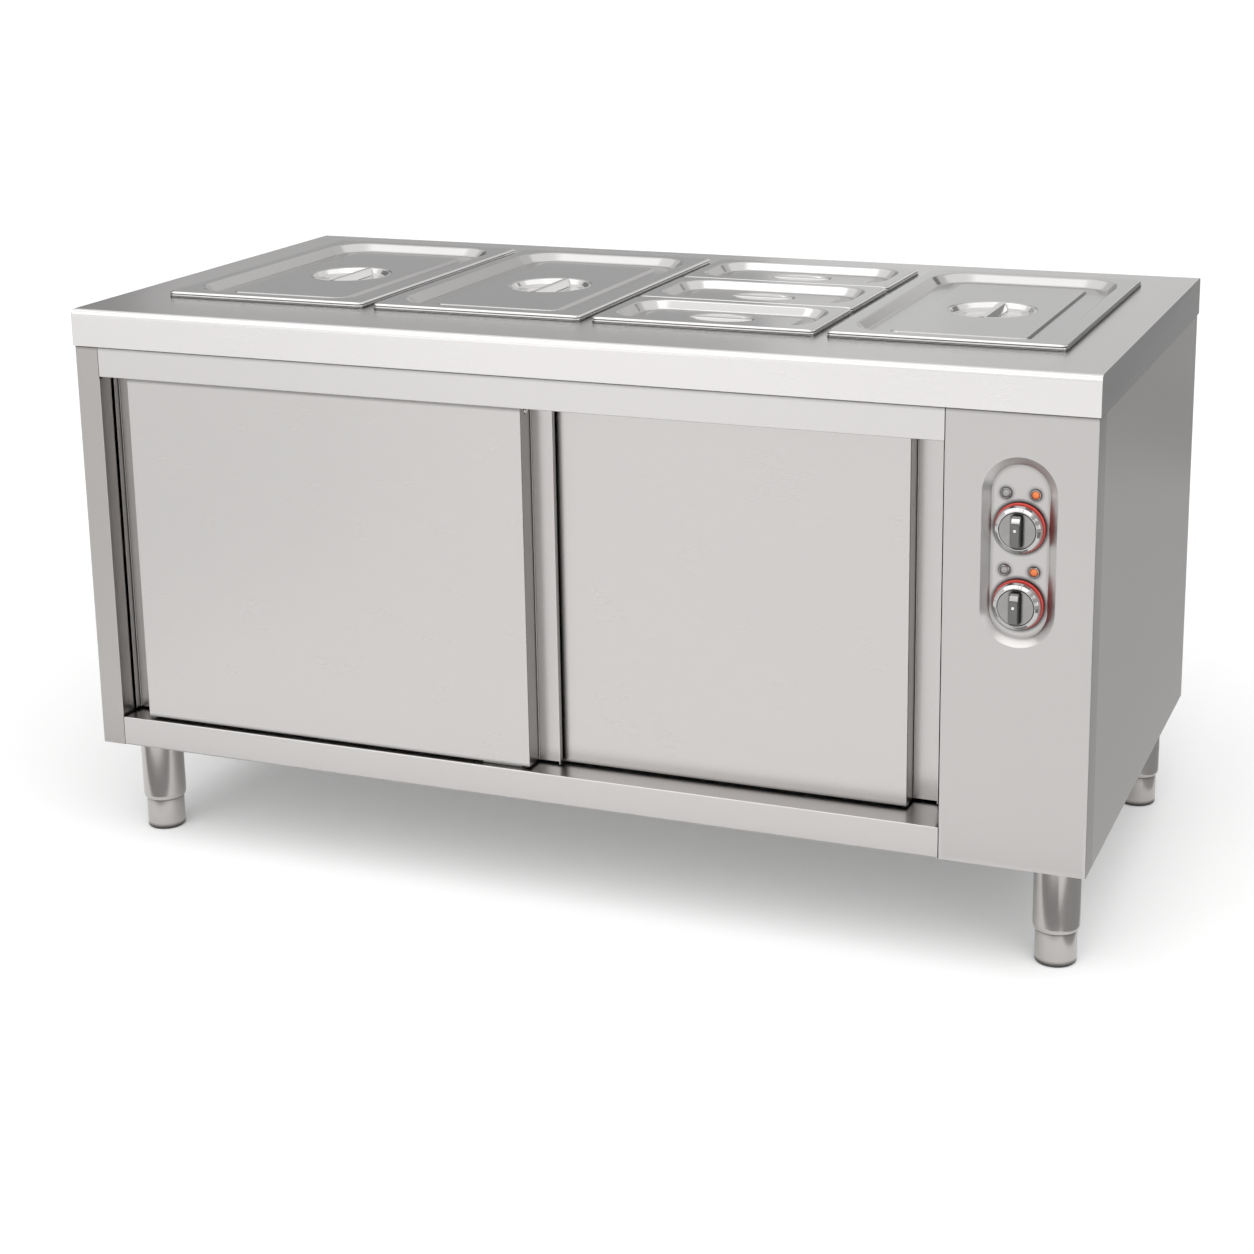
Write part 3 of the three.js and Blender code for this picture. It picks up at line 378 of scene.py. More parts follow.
@dataclass(frozen=True)
class Lens(Coating):
    """Clear or tinted lens of a pilot lamp, deeper in colour where it is seen at a slant."""

    deep: Triple
    light: float = 0.0

    BLEND, SLANT, FLECKS = 0.4, 1.2, 0.5
    POLISH, BLUR = 0.12, 0.1

    def made(self, recipe: Recipe) -> bpy.types.Material:
        """Lay the lens's nodes.

        Args:
            recipe: the new material's nodes.

        Returns:
            The material.
        """
        weight = recipe.node("ShaderNodeLayerWeight", None, {"Blend": self.BLEND})
        facing = Signal(weight.outputs["Facing"])
        flecks = recipe.noise((500.0, 500.0, 500.0))
        share = (facing * self.SLANT + flecks.swing(self.FLECKS)) & 1.0
        tint = recipe.mixed(share, (*self.colour, 1.0), (*self.deep, 1.0))
        recipe.set(Base_Color=tint, Roughness=self.POLISH + flecks * self.BLUR, Coat_Weight=1.0,
                   Emission_Color=tint, Emission_Strength=self.light)
        return recipe.material


class Finish:
    """Finishes of this counter."""

    SHEET, PAN, BRIGHT = "brushed_steel", "pan_steel", "chrome"
    X, Y, Z, EVEN = Grain.ALONG_X, Grain.ALONG_Y, Grain.ALONG_Z, Grain.EVEN
    FACE = (0.54, 0.524, 0.515)

    # A lighter copy of the sheet steel for the top rail: painted light.
    RAIL = Steel("steel_rail_brushed", SHEET, (0.61, 0.595, 0.586),
                 0.28, X, 0.03, 0.04, 0.006, 5.0)
    FRONT = Steel("steel_front_brushed", SHEET, FACE, 0.28, X, 0.03, 0.06, 0.006, 5.0)
    DOOR = Steel("steel_door_brushed", SHEET, FACE, 0.27, X, 0.03, 0.06, 0.009, 3.0)
    STRIP = Steel("steel_strip_brushed", SHEET, FACE, 0.27, Z, 0.03, 0.06, 0.003, 3.0)
    # A darker copy for the doors' sideways return walls: painted shade.
    RETURN = Steel("steel_return_brushed", SHEET, (0.34, 0.327, 0.318), 0.3, Z)
    # A darker copy for the pillar, left side and back: painted shade.
    UPRIGHT = Steel("steel_upright_brushed", SHEET, (0.42, 0.404, 0.393),
                    0.30, Z, 0.03, 0.06, 0.006, 5.0)
    # A lighter copy for the right side panel: painted light.
    SIDE = Steel("steel_side_brushed", SHEET, (0.65, 0.634, 0.618), 0.32, Y)
    TOP = Steel("steel_top_brushed", SHEET, (0.53, 0.518, 0.512), 0.26, X, 0.03, 0.06, 0.003, 1.5)
    # A lighter copy for the worktop's front-facing faces: painted light.
    APRON = Steel("steel_apron_brushed", SHEET, (0.765, 0.747, 0.737),
                  0.27, X, 0.03, 0.06, 0.006, 5.0)
    INSIDE = Steel("steel_inside", SHEET, (0.55, 0.54, 0.53), 0.38, X, 0.16, 0.1)
    LEG = Steel("steel_leg_turned", SHEET, (0.5, 0.48, 0.465), 0.2, Z, 0.2, 0.06, 0.01, 4.0)
    PRESSED = Steel("steel_pressed_bright", PAN, (0.44, 0.431, 0.426),
                    0.17, EVEN, 0.04, 0.05, 0.004, 0.8)
    # A lighter copy of the pressed steel for lid rims, bright dishes and their bars: painted
    # highlight.
    POLISHED = Steel("steel_pressed_polished", PAN, (0.64, 0.629, 0.623),
                     0.15, EVEN, 0.04, 0.05, 0.003, 1.0)
    ZINC = Steel("zinc_dull", "galvanised", (0.5, 0.495, 0.487), 0.45, EVEN, 0.25, 0.25)
    SHEATH = Steel("element_sheath_dulled", "element_sheath", (0.24, 0.225, 0.21),
                   0.45, EVEN, 0.3, 0.3)
    BRASS = Steel("brass_satin", "brass", (0.62, 0.45, 0.2), 0.3, EVEN, 0.15, 0.15)
    CHROME = Steel("chrome_bright", BRIGHT, (0.78, 0.78, 0.78), 0.06, EVEN, 0.0, 0.02)
    DIAL = Steel("dial_face_satin", BRIGHT, (0.31, 0.305, 0.298), 0.2, Z, 0.25)
    LAMP_RIM = Steel("lamp_rim_chrome", BRIGHT, (0.5, 0.495, 0.49),
                     0.1, EVEN, 0.0, 0.02, 0.002, 1.6)
    KNOB = Steel("dial_skirt_chrome", BRIGHT, (0.52, 0.515, 0.508),
                 0.09, EVEN, 0.02, 0.05, 0.003, 1.2)
    GRIP = Steel("dial_grip_dark_chrome", BRIGHT, (0.17, 0.168, 0.166), 0.12, EVEN, 0.02, 0.3)
    RED = Plastic("bezel_red", "red_plastic", (0.62, 0.045, 0.03), 0.3, 0.3)
    LEVER = Plastic("lever_red", "red_plastic", (0.5, 0.05, 0.03), 0.45)
    NYLON = Plastic("nylon_white", "white_nylon", (0.75, 0.74, 0.7), 0.5)
    BLACK = Plastic("plastic_black", "black_plastic", (0.03, 0.03, 0.032), 0.45)
    PALE = Plastic("dial_mark_pale", "white_nylon", (0.8, 0.8, 0.79), 0.4)
    TICK = Plastic("dial_scale_grey", "black_plastic", (0.2, 0.2, 0.2), 0.4)
    MARK = Plastic("dial_mark_dark", "black_plastic", (0.08, 0.08, 0.085), 0.5)
    AMBER = Lens("lens_amber", "amber_lens", (0.8, 0.17, 0.01), (0.25, 0.03, 0.005), 0.12)
    CLEAR = Lens("lens_clear", "clear_lens", (0.34, 0.33, 0.32), (0.1, 0.1, 0.1))


# Shapes


def near(base: Numbers, *steps: Numbers) -> list[tuple[float, ...]]:
    """Points that lie some millimetres away from a base point."""
    return [tuple(start + step * MM for start, step in zip(base, point)) for point in steps]


def sweep(count: int, total: float, start: float = 0.0) -> list[float]:
    """Angles in even steps, with both ends."""
    return [start + step / count * total for step in range(count + 1)]


def polar(angle: float, reach_x: float, reach_y: float,
          centre: Numbers = (0.0, 0.0)) -> tuple[float, float]:
    """A point of an ellipse."""
    return centre[0] + reach_x * math.cos(angle), centre[1] + reach_y * math.sin(angle)


def softened(path: Path, reach: float, steps: int = 4) -> list[Vector]:
    """Round every inner corner of a path with a short curve.

    Args:
        path: points of two or three numbers.
        reach: how far from a corner its curve starts.
        steps: how many pieces a curve has.

    Returns:
        The rounded path.
    """
    points = [Vector(point) for point in path]
    result = [points[0]]
    for before, corner, after in zip(points, points[1:], points[2:]):
        ends = []
        for other in (before, after):
            away = other - corner
            length = away.length
            ends.append(corner + away * (min(reach, length * 0.49) / length if length else 0.0))
        for step in range(steps + 1):
            share = step / steps
            curve = ends[0] * (1 - share) ** 2 + corner * (2 * share * (1 - share))
            result.append(curve + ends[1] * share ** 2)
    return [*result, points[-1]]


def folded(path: Path, gauge: float, bend: float) -> list[Vector]:
    """The outline of a sheet folded along a path, thickened to its left.

    Args:
        path: corners of the sheet's outer face.
        gauge: its thickness.
        bend: how far a bend reaches along the faces.

    Returns:
        The closed outline.
    """
    points = softened(path, bend)
    lefts = [Vector((-(b - a).y, (b - a).x)).normalized() for a, b in zip(points, points[1:])]
    inner = []
    for index, point in enumerate(points):
        before, after = lefts[max(index - 1, 0)], lefts[min(index, len(lefts) - 1)]
        inner.append(point + (before + after) * (gauge / (1 + before.dot(after))))
    return [*points, *reversed(inner)]


def rounded_rectangle(width: float, depth: float, radius: float) -> list[Vector]:
    """A rounded rectangle about the origin.

    Args:
        width: size along the first axis.
        depth: size along the second axis.
        radius: radius of its corners.

    Returns:
        Its points, counterclockwise.
    """
    points = []
    for corner, (sign_x, sign_y) in enumerate(((1, 1), (-1, 1), (-1, -1), (1, -1))):
        centre = (sign_x * (width / 2 - radius), sign_y * (depth / 2 - radius))
        for step in range(CORNER_STEPS + 1):
            angle = (corner + step / CORNER_STEPS) * math.pi / 2
            points.append(Vector(polar(angle, radius, radius, centre)))
    return points


def oval(half_x: float, half_y: float) -> list[Vector]:
    """An ellipse about the origin with its points in step with a rounded rectangle's."""
    count = 4 * (CORNER_STEPS + 1)
    return [Vector(polar((index + 0.5) / count * TURN, half_x, half_y)) for index in range(count)]


def slot_outline(half_wide: float, half_high: float, steps: int = 28) -> list[Vector]:
    """An upright slot with round ends about the origin."""
    return [Vector(polar(angle, half_wide, half_wide, (0.0, end * (half_high - half_wide))))
            for end, first in ((1, 0.0), (-1, math.pi)) for angle in sweep(steps, math.pi, first)]


class Axis(Enum):
    """How a flat outline and the way along it are laid in space, with the axis's number."""

    X = 0
    Y = 1
    Z = 2

    def at(self, point: Numbers, along: float) -> Vector:
        """A point of an outline, at a place along the axis."""
        first, second = point
        ways = ((along, first, second), (first, along, second), (first, second, along))
        return Vector(ways[self.value])


class Place:
    """The box that a CAD node fills."""

    def __init__(self, node: str) -> None:
        """Read the box's corners, and work out its middle and half its size.

        Args:
            node: the CAD node.
        """
        self.low, self.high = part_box(node)
        self.middle = [(low + high) / 2 for low, high in zip(self.low, self.high)]
        self.half = [(high - low) / 2 for low, high in zip(self.low, self.high)]

    def centre(self, axis: Axis) -> list[float]:
        """The middle as seen along an axis: its two other coordinates."""
        return [value for number, value in enumerate(self.middle) if number != axis.value]

    def ends(self, axis: Axis) -> tuple[float, float]:
        """Where the box starts and stops along an axis."""
        return self.low[axis.value], self.high[axis.value]


class Piece:
    """A visible piece with its main finish."""

    def __init__(self, name: str, finish: Coating, mesh: bpy.types.Mesh, crease: float) -> None:
        """Put a mesh into the scene.

        Args:
            name: the piece's name.
            finish: its finish.
            mesh: its points and faces.
            crease: edges sharper than this stay crisp, in degrees.
        """
        self.finish = finish
        self.item = bpy.data.objects.new(name, mesh)
        bpy.context.scene.collection.objects.link(self.item)
        mesh.materials.append(finish.material())
        self._smooth(crease)

    def _smooth(self, crease: float) -> None:
        """Shade smoothly except across sharp edges."""
        self.item.data.shade_smooth()
        self.item.data.set_sharp_from_angle(angle=math.radians(crease))

    def shaped(self, kind: str, crease: float | None = CREASE, **settings: Any) -> "Piece":
        """Add a modifier, apply it and shade smoothly again.

        Args:
            kind: the modifier's type.
            crease: edges sharper than this stay crisp, in degrees; None leaves the shading alone.
            settings: the modifier's properties.

        Returns:
            The same piece.
        """
        modifier = self.item.modifiers.new(kind, kind)
        for key, value in settings.items():
            setattr(modifier, key, value)
        bpy.context.view_layer.update()
        graph = bpy.context.evaluated_depsgraph_get()
        self.item.data = bpy.data.meshes.new_from_object(self.item.evaluated_get(graph))
        self.item.modifiers.clear()
        if crease is not None:
            self._smooth(crease)
        return self

    def eased(self, width: float, limit: float = 40.0, segments: int = 3,
              crease: float = CREASE) -> "Piece":
        """Round the edges that are sharper than a limit."""
        return self.shaped("BEVEL", crease, width=width, segments=segments, limit_method="ANGLE",
                           angle_limit=math.radians(limit))

    def thickened(self, gauge: float, crease: float = CREASE) -> "Piece":
        """Give an open skin its thickness, behind its outside."""
        return self.shaped("SOLIDIFY", crease, thickness=gauge, offset=-1.0)

    def painted(self, choose: Callable[[Any], int], *finishes: Coating) -> "Piece":
        """Give some faces other finishes.

        Args:
            choose: gives 0 for a face that keeps the main finish, else the other finish's number.
            finishes: the other finishes.

        Returns:
            The same piece.
        """
        for finish in finishes:
            self.item.data.materials.append(finish.material())
        for face in self.item.data.polygons:
            face.material_index = choose(face)
        return self

    def install(self, body: str, node: str | None = None) -> None:
        """Finish the piece and fix it to its body. Broad faces stay flat up to rounded edges.

        Args:
            body: the body that it rides on.
            node: the CAD node that it stands for, if any.
        """
        self.shaped("WEIGHTED_NORMAL", None, keep_sharp=True)
        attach(self.item, body)
        if node:
            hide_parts(node)
        log.info("%s rides on %s", self.item.name, body)


class Skin:
    """Collects the points and faces of one piece."""

    SAME = 0.001 * MM
    LEAST = 0.01 * MM

    def __init__(self, name: str, finish: Coating) -> None:
        """Start with nothing but the piece's name and finish.

        Args:
            name: the piece's name.
            finish: its finish.
        """
        self.name = name
        self.finish = finish
        self.points: list[Vector] = []
        self.faces: list[tuple[int, ...]] = []

    def ring(self, points: Iterable[Numbers]) -> list[int]:
        """Add points and give their numbers.

        Args:
            points: places in space.

        Returns:
            The points' numbers.
        """
        start = len(self.points)
        self.points.extend(Vector(point) for point in points)
        return list(range(start, len(self.points)))

    def band(self, first: list[int], second: list[int], closed: bool = True) -> None:
        """Join two rings with four-sided faces.

        Args:
            first: one ring.
            second: the other ring.
            closed: whether the last point joins the first.
        """
        count = len(first)
        for index in range(count if closed else count - 1):
            after = (index + 1) % count
            self.faces.append((first[index], first[after], second[after], second[index]))

    def stack(self, rings: list[list[int]], solid: bool = True) -> None:
        """Join rings in order and close the last one.

        Args:
            rings: the rings.
            solid: whether the first one is closed too.
        """
        for first, second in zip(rings, rings[1:]):
            self.band(first, second)
        self.faces.extend(tuple(ring) for ring in (rings[0], rings[-1])[0 if solid else 1:])

    def piece(self, crease: float = CREASE, facing: Numbers | None = None) -> Piece:
        """Make the piece.

        Args:
            crease: edges sharper than this stay crisp, in degrees.
            facing: for an open skin, the way that its outside faces.

        Returns:
            The piece.
        """
        mesh = bpy.data.meshes.new(self.name)
        mesh.from_pydata(self.points, [], self.faces)
        work = bmesh.new()
        work.from_mesh(mesh)
        bmesh.ops.remove_doubles(work, verts=work.verts, dist=self.SAME)
        bmesh.ops.recalc_face_normals(work, faces=work.faces)
        if facing is not None:
            total = sum((face.normal * face.calc_area() for face in work.faces), Vector())
            if total.dot(Vector(facing)) < 0:
                bmesh.ops.reverse_faces(work, faces=work.faces)
        work.to_mesh(mesh)
        work.free()
        return Piece(self.name, self.finish, mesh, crease)

    def prism(self, outline: Path, axis: Axis, ends: Numbers) -> Piece:
        """A solid with the same outline all along an axis."""
        self.stack([self.ring(axis.at(point, along) for point in outline) for along in ends])
        return self.piece()

    def turned(self, profile: Path, axis: Axis, centre: Numbers, sides: int) -> Piece:
        """A turned piece.

        Args:
            profile: radius and place along the axis, point by point.
            axis: the way its axis runs.
            centre: the two other coordinates of the axis.
            sides: how many sides the turning has.

        Returns:
            The piece.
        """
        rounds = [(max(radius, self.LEAST), along) for radius, along in profile]
        self.stack([self.ring(axis.at(polar(angle, radius, radius, centre), along)
                              for angle in sweep(sides, TURN)[:-1]) for radius, along in rounds])
        return self.piece()

    def piped(self, path: Path, radius: float, sides: int = 16) -> Piece:
        """A round bar that follows a level path.

        Args:
            path: the bar's middle line.
            radius: its radius.
            sides: how many sides it has.

        Returns:
            The piece.
        """
        points = [Vector(point) for point in path]
        rings = []
        for index, point in enumerate(points):
            ahead = points[min(index + 1, len(points) - 1)] - points[max(index - 1, 0)]
            across = ahead.cross(Vector((0, 0, 1))).normalized()
            above = across.cross(ahead).normalized()
            rings.append(self.ring(
                point + across * (radius * math.cos(turn)) + above * (radius * math.sin(turn))
                for turn in sweep(sides, TURN)[:-1]))
        self.stack(rings)
        return self.piece()


def dress(finish: Coating, *nodes: str) -> None:
    """Give a finish to CAD nodes that stay.

    Args:
        finish: the finish.
        nodes: the nodes' names.
    """
    for node in nodes:
        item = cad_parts[node]
        if item.material_slots:
            item.material_slots[0].material = finish.material()
        else:
            item.data.materials.append(finish.material())
        log.info("%s keeps its CAD shape", node)


# The studio


@dataclass(frozen=True)
class Card:
    """A flat grey card that only metal sees, upright or lying, between two opposite corners."""

    name: str
    start: Triple
    end: Triple
    tone: float

    def corners(self) -> Path:
        """Work out its corners.

        Returns:
            The four corners in turn.
        """
        (x, y, z), (far_x, far_y, far_z) = self.start, self.end
        second_y, fourth_y = (y, far_y) if z == far_z else (far_y, y)
        return (x, y, z), (far_x, second_y, z), (far_x, far_y, far_z), (x, fourth_y, far_z)


@dataclass
class Studio:
    """Floor, light and camera."""

    focal_pixels: float = 2349.3
    aim_x: float = 670.0
    aim_y: float = 460.0
    yaw: float = -21.45
    pitch: float = -13.98
    roll: float = -0.70
    eye: Triple = (1.2834, -3.1802, 1.4197)
    sensor: float = 36.0
    farthest: float = 100.0
    sky_level: float = 0.3
    floor_tone: tuple[float, ...] = (0.88, 0.88, 0.88, 1.0)
    floor_lift: float = 0.16
    floor_corners: Path = ((-60, -40, 0), (60, -40, 0), (60, 90, 0), (-60, 90, 0))
    cards: tuple[Card, ...] = (
        Card("back_card_left", (-9.0, 5.2, 0.6), (-2.5, 5.2, 3.6), 0.52),
        Card("back_card_middle", (-2.5, 5.2, 0.6), (-1.6, 5.2, 3.6), 0.53),
        Card("back_card_inner", (-1.6, 5.2, 0.6), (-0.9, 5.2, 3.6), 0.84),
        Card("back_card_right", (-0.9, 5.2, 0.6), (0.7, 5.2, 3.6), 0.78),
        Card("side_card", (0.9, 2.4, 0.003), (4.6, 3.4, 2.6), 0.3),
        Card("side_floor_card", (0.78, -0.5, 0.003), (4.6, 3.4, 0.003), 0.42),
        Card("right_card", (3.2, -0.2, 0.003), (3.2, 2.0, 2.4), 0.12),
        Card("left_card", (-3.6, -1.4, 0.003), (-3.2, 3.4, 2.4), 0.25),
        Card("front_floor_card", (-1.2, -0.62, 0.003), (0.78, -0.42, 0.003), 0.35),
        Card("right_floor_card", (1.5, -2.3, 0.003), (3.2, -0.7, 0.003), 0.3),
        Card("left_floor_card", (-7.0, -2.9, 0.003), (-1.25, -1.0, 0.003), 0.97),
        Card("left_far_card", (-7.0, -6.5, 0.003), (-2.1, -2.9, 0.003), 0.97),
        Card("top_softbox", (-3.4, -1.6, 3.1), (2.6, 1.6, 3.1), 1.5),
        Card("top_front_softbox", (-3.4, -3.4, 3.1), (2.6, -1.6, 3.1), 2.1),
        Card("top_strip", (-2.6, -0.6, 3.09), (0.6, -0.15, 3.09), 3.0),
        Card("front_softbox", (-2.9, -5.0, 0.3), (-1.5, -5.0, 2.6), 1.5),
        Card("right_softbox", (3.4, -2.4, 0.3), (3.3, -0.8, 2.4), 2.2),
    )
    sun_from: Triple = (0.2, -0.6, 1.0)
    sun_spread: float = 80.0
    sun_power: float = 2.75

    def build(self) -> None:
        """Make the studio."""
        bpy.context.scene.view_settings.view_transform = "Standard"
        self._camera()
        self._sky()
        self._floor()
        for card in self.cards:
            recipe = Recipe(card.name)
            feed(recipe.output.inputs["Surface"], recipe.glow(card.tone))
            item = self._stage(card.name, card.corners(), recipe)
            item.visible_camera = item.visible_diffuse = item.visible_shadow = False
        self._sun()
        log.info("studio built")

    def _camera(self) -> None:
        """Place the camera at the photograph's viewpoint."""
        data = bpy.data.cameras.new("photo_camera")
        data.sensor_width = self.sensor
        data.lens = self.focal_pixels * data.sensor_width / IMAGE
        data.shift_x = (IMAGE / 2 - self.aim_x) / IMAGE
        data.shift_y = (self.aim_y - IMAGE / 2) / IMAGE
        data.clip_end = self.farthest
        yaw, pitch, roll = (math.radians(angle) for angle in (self.yaw, self.pitch, self.roll))
        ahead = Vector((math.sin(yaw) * math.cos(pitch), math.cos(yaw) * math.cos(pitch),
                        math.sin(pitch)))
        right = Vector((math.cos(yaw), -math.sin(yaw), 0.0))
        above = right.cross(ahead)
        across = right * math.cos(roll) + above * math.sin(roll)
        above = above * math.cos(roll) - right * math.sin(roll)
        camera = bpy.data.objects.new("photo_camera", data)
        turned = Matrix((across, above, -ahead)).transposed().to_4x4()
        camera.matrix_world = Matrix.Translation(self.eye) @ turned
        bpy.context.scene.collection.objects.link(camera)
        bpy.context.scene.camera = camera

    def _sky(self) -> None:
        """Put white behind the counter, and a plain even light on it."""
        world = bpy.data.worlds.new("studio_sky")
        bpy.context.scene.world = world
        world.use_nodes = True
        nodes = Nodes(world.node_tree)
        seen = nodes.seen()
        strength = seen + (1.0 - seen) * self.sky_level
        back = nodes.node("ShaderNodeBackground", None, {"Color": WHITE, "Strength": strength})
        nodes.node("ShaderNodeOutputWorld", None, {"Surface": back.outputs[0]})

    def _floor(self) -> None:
        """Lay a pale floor that keeps the counter's shadow."""
        recipe = Recipe("floor_pale")
        recipe.set(Base_Color=self.floor_tone, Roughness=0.9, Specular_IOR_Level=0.1)
        lift = recipe.glow(recipe.seen() * self.floor_lift)
        both = recipe.node("ShaderNodeAddShader", None, {0: recipe.surface.outputs[0], 1: lift})
        feed(recipe.output.inputs["Surface"], both.outputs[0])
        self._stage("floor", self.floor_corners, recipe)

    def _stage(self, name: str, corners: Path, recipe: Recipe) -> bpy.types.Object:
        """Add a flat piece of the studio that is no part of the counter.

        Args:
            name: its name.
            corners: its four corners.
            recipe: its material's nodes.

        Returns:
            The object.
        """
        mesh = bpy.data.meshes.new(name)
        mesh.from_pydata(corners, [], [(0, 1, 2, 3)])
        mesh.materials.append(recipe.material)
        item = bpy.data.objects.new(name, mesh)
        bpy.context.scene.collection.objects.link(item)
        return item

    def _sun(self) -> None:
        """Hang the one wide soft light above the counter."""
        data = bpy.data.lights.new("overhead_light", "SUN")
        data.energy = self.sun_power
        data.angle = math.radians(self.sun_spread)
        light = bpy.data.objects.new("overhead_light", data)
        light.visible_glossy = False
        light.rotation_euler = Vector(self.sun_from).to_track_quat("Z", "Y").to_euler()
        bpy.context.scene.collection.objects.link(light)


# The counter's sub-assemblies


@dataclass
class Worktop:
    """The pressed top with its rounded front edge, skirt and well cut-outs."""

    nose: float = 10 * MM
    back_bend: float = 3.2 * MM
    hem: float = 5 * MM
    hem_rise: float = 4 * MM
    hem_bend: float = 1.4 * MM
    end_limit: float = 50.0
    gauge: float = 1.5 * MM
    inset: float = 10 * MM
    corner: float = 30 * MM
    cut: float = 10 * MM

    def build(self) -> None:
        """Make the worktop."""
        low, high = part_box("worktop")
        back = softened([(high.y, low.z), (high.y, high.z), (high.y - 0.1, high.z)],
                        self.back_bend)[:-1]
        nose = [(low.y + self.nose * (1 - math.sin(turn)),
                 high.z - self.nose * (1 - math.cos(turn)))
                for turn in sweep(14, math.pi / 2)]
        hem = softened([(low.y, low.z + self.hem_rise), (low.y, low.z), (low.y + self.hem, low.z)],
                       self.hem_bend)
        skin = Skin("worktop_sheet", Finish.TOP)
        rows = [skin.ring(Axis.X.at(point, along) for point in (*back, *nose, *hem))
                for along in (low.x, high.x)]
        skin.band(*rows, closed=False)
        skin.faces.extend(tuple(row) for row in rows)
        top = skin.piece(facing=(0, 0, 1)).eased(self.hem_bend, self.end_limit)
        cutter = self._cutter(high.z)
        top.thickened(self.gauge)
        top.shaped("BOOLEAN", operation="DIFFERENCE", solver="EXACT", object=cutter)
        bpy.data.objects.remove(cutter)
        # Faces turned to the front take a lighter copy of the steel: painted light.
        top.painted(lambda face: int(face.normal.y < -SQUARE), Finish.APRON)
        top.install(CARCASS, "worktop")

    def _cutter(self, height: float) -> bpy.types.Object:
        """The four well openings as one tool.

        Args:
            height: the worktop's upper face.

        Returns:
            The object.
        """
        skin = Skin("well_cutter", Finish.TOP)
        for node in ("full_left_pan", "full_centre_pan", "third_front_pan", "full_right_pan"):
            well, deep = Place(node), Place("full_left_pan")
            middle = Vector((well.middle[0], deep.middle[1]))
            width = well.high.x - well.low.x - 2 * self.inset
            depth = deep.high.y - deep.low.y - 2 * self.inset
            outline = [point + middle for point in rounded_rectangle(width, depth, self.corner)]
            skin.stack([skin.ring(Axis.Z.at(point, height + offset) for point in outline)
                        for offset in (-self.cut, self.cut)])
        return skin.piece().item


@dataclass
class Cabinet:
    """Folded side panels and rails, and the sheets that keep their CAD shape."""

    gauge: float = 1.5 * MM
    bend: float = 1.6 * MM
    ledge_bend: float = 2.2 * MM
    pillar: float = 38 * MM
    pillar_return: float = 28 * MM
    back_fold: float = 20 * MM
    rail_lip: float = 6 * MM
    top_flange: float = 23 * MM
    gap: float = 0.3 * MM

    def build(self) -> None:
        """Make the cabinet."""
        self._left_side()
        self._right_side()
        self._top_rail()
        self._bottom_rail()
        dress(Finish.UPRIGHT, "back_panel")
        dress(Finish.ZINC, "underside_panel", "door_track")
        dress(Finish.INSIDE, "cupboard_floor", "middle_shelf", "partition")
        dress(Finish.NYLON, "door_guide")

    def _sheet(self, node: str, finish: Steel, path: Path, axis: Axis, bend: float) -> None:
        """Fold the sheet for a node: a path of its outer face's corners, seen along an axis."""
        skin = Skin(f"{node.removesuffix('_panel')}_sheet", finish)
        sheet = skin.prism(folded(path, self.gauge, bend), axis, Place(node).ends(axis))
        sheet.install(CARCASS, node)

    def _left_side(self) -> None:
        """Side sheet whose front fold is the pillar."""
        low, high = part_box("left_side_panel")
        edge = low.x + self.pillar
        path = [(low.x + self.back_fold, high.y), (low.x, high.y), (low.x, low.y), (edge, low.y),
                (edge, low.y + self.pillar_return)]
        self._sheet("left_side_panel", Finish.UPRIGHT, path, Axis.Z, self.bend)

    def _right_side(self) -> None:
        """Side sheet behind the control panel's wrapped edge."""
        low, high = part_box("right_side_panel")
        path = [(high.x, low.y), (high.x, high.y), (high.x - self.back_fold, high.y)]
        self._sheet("right_side_panel", Finish.SIDE, path, Axis.Z, self.bend)

    def _top_rail(self) -> None:
        """Rail above the doors."""
        low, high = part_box("top_rail")
        riser = high.y - self.top_flange
        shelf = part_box("worktop")[0].z + self.gauge
        path = [(high.y, high.z), (riser, high.z), (riser, shelf), (low.y, shelf), (low.y, low.z),
                (low.y + self.rail_lip, low.z)]
        self._sheet("top_rail", Finish.RAIL, path, Axis.X, self.bend)

    def _bottom_rail(self) -> None:
        """Rail below the doors with its ledge."""
        low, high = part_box("bottom_rail")
        path = [(high.y, low.z + self.gauge + self.gap), (high.y, high.z), (low.y, high.z),
                (low.y, low.z), (low.y + self.pillar_return, low.z)]
        self._sheet("bottom_rail", Finish.FRONT, path, Axis.X, self.ledge_bend)


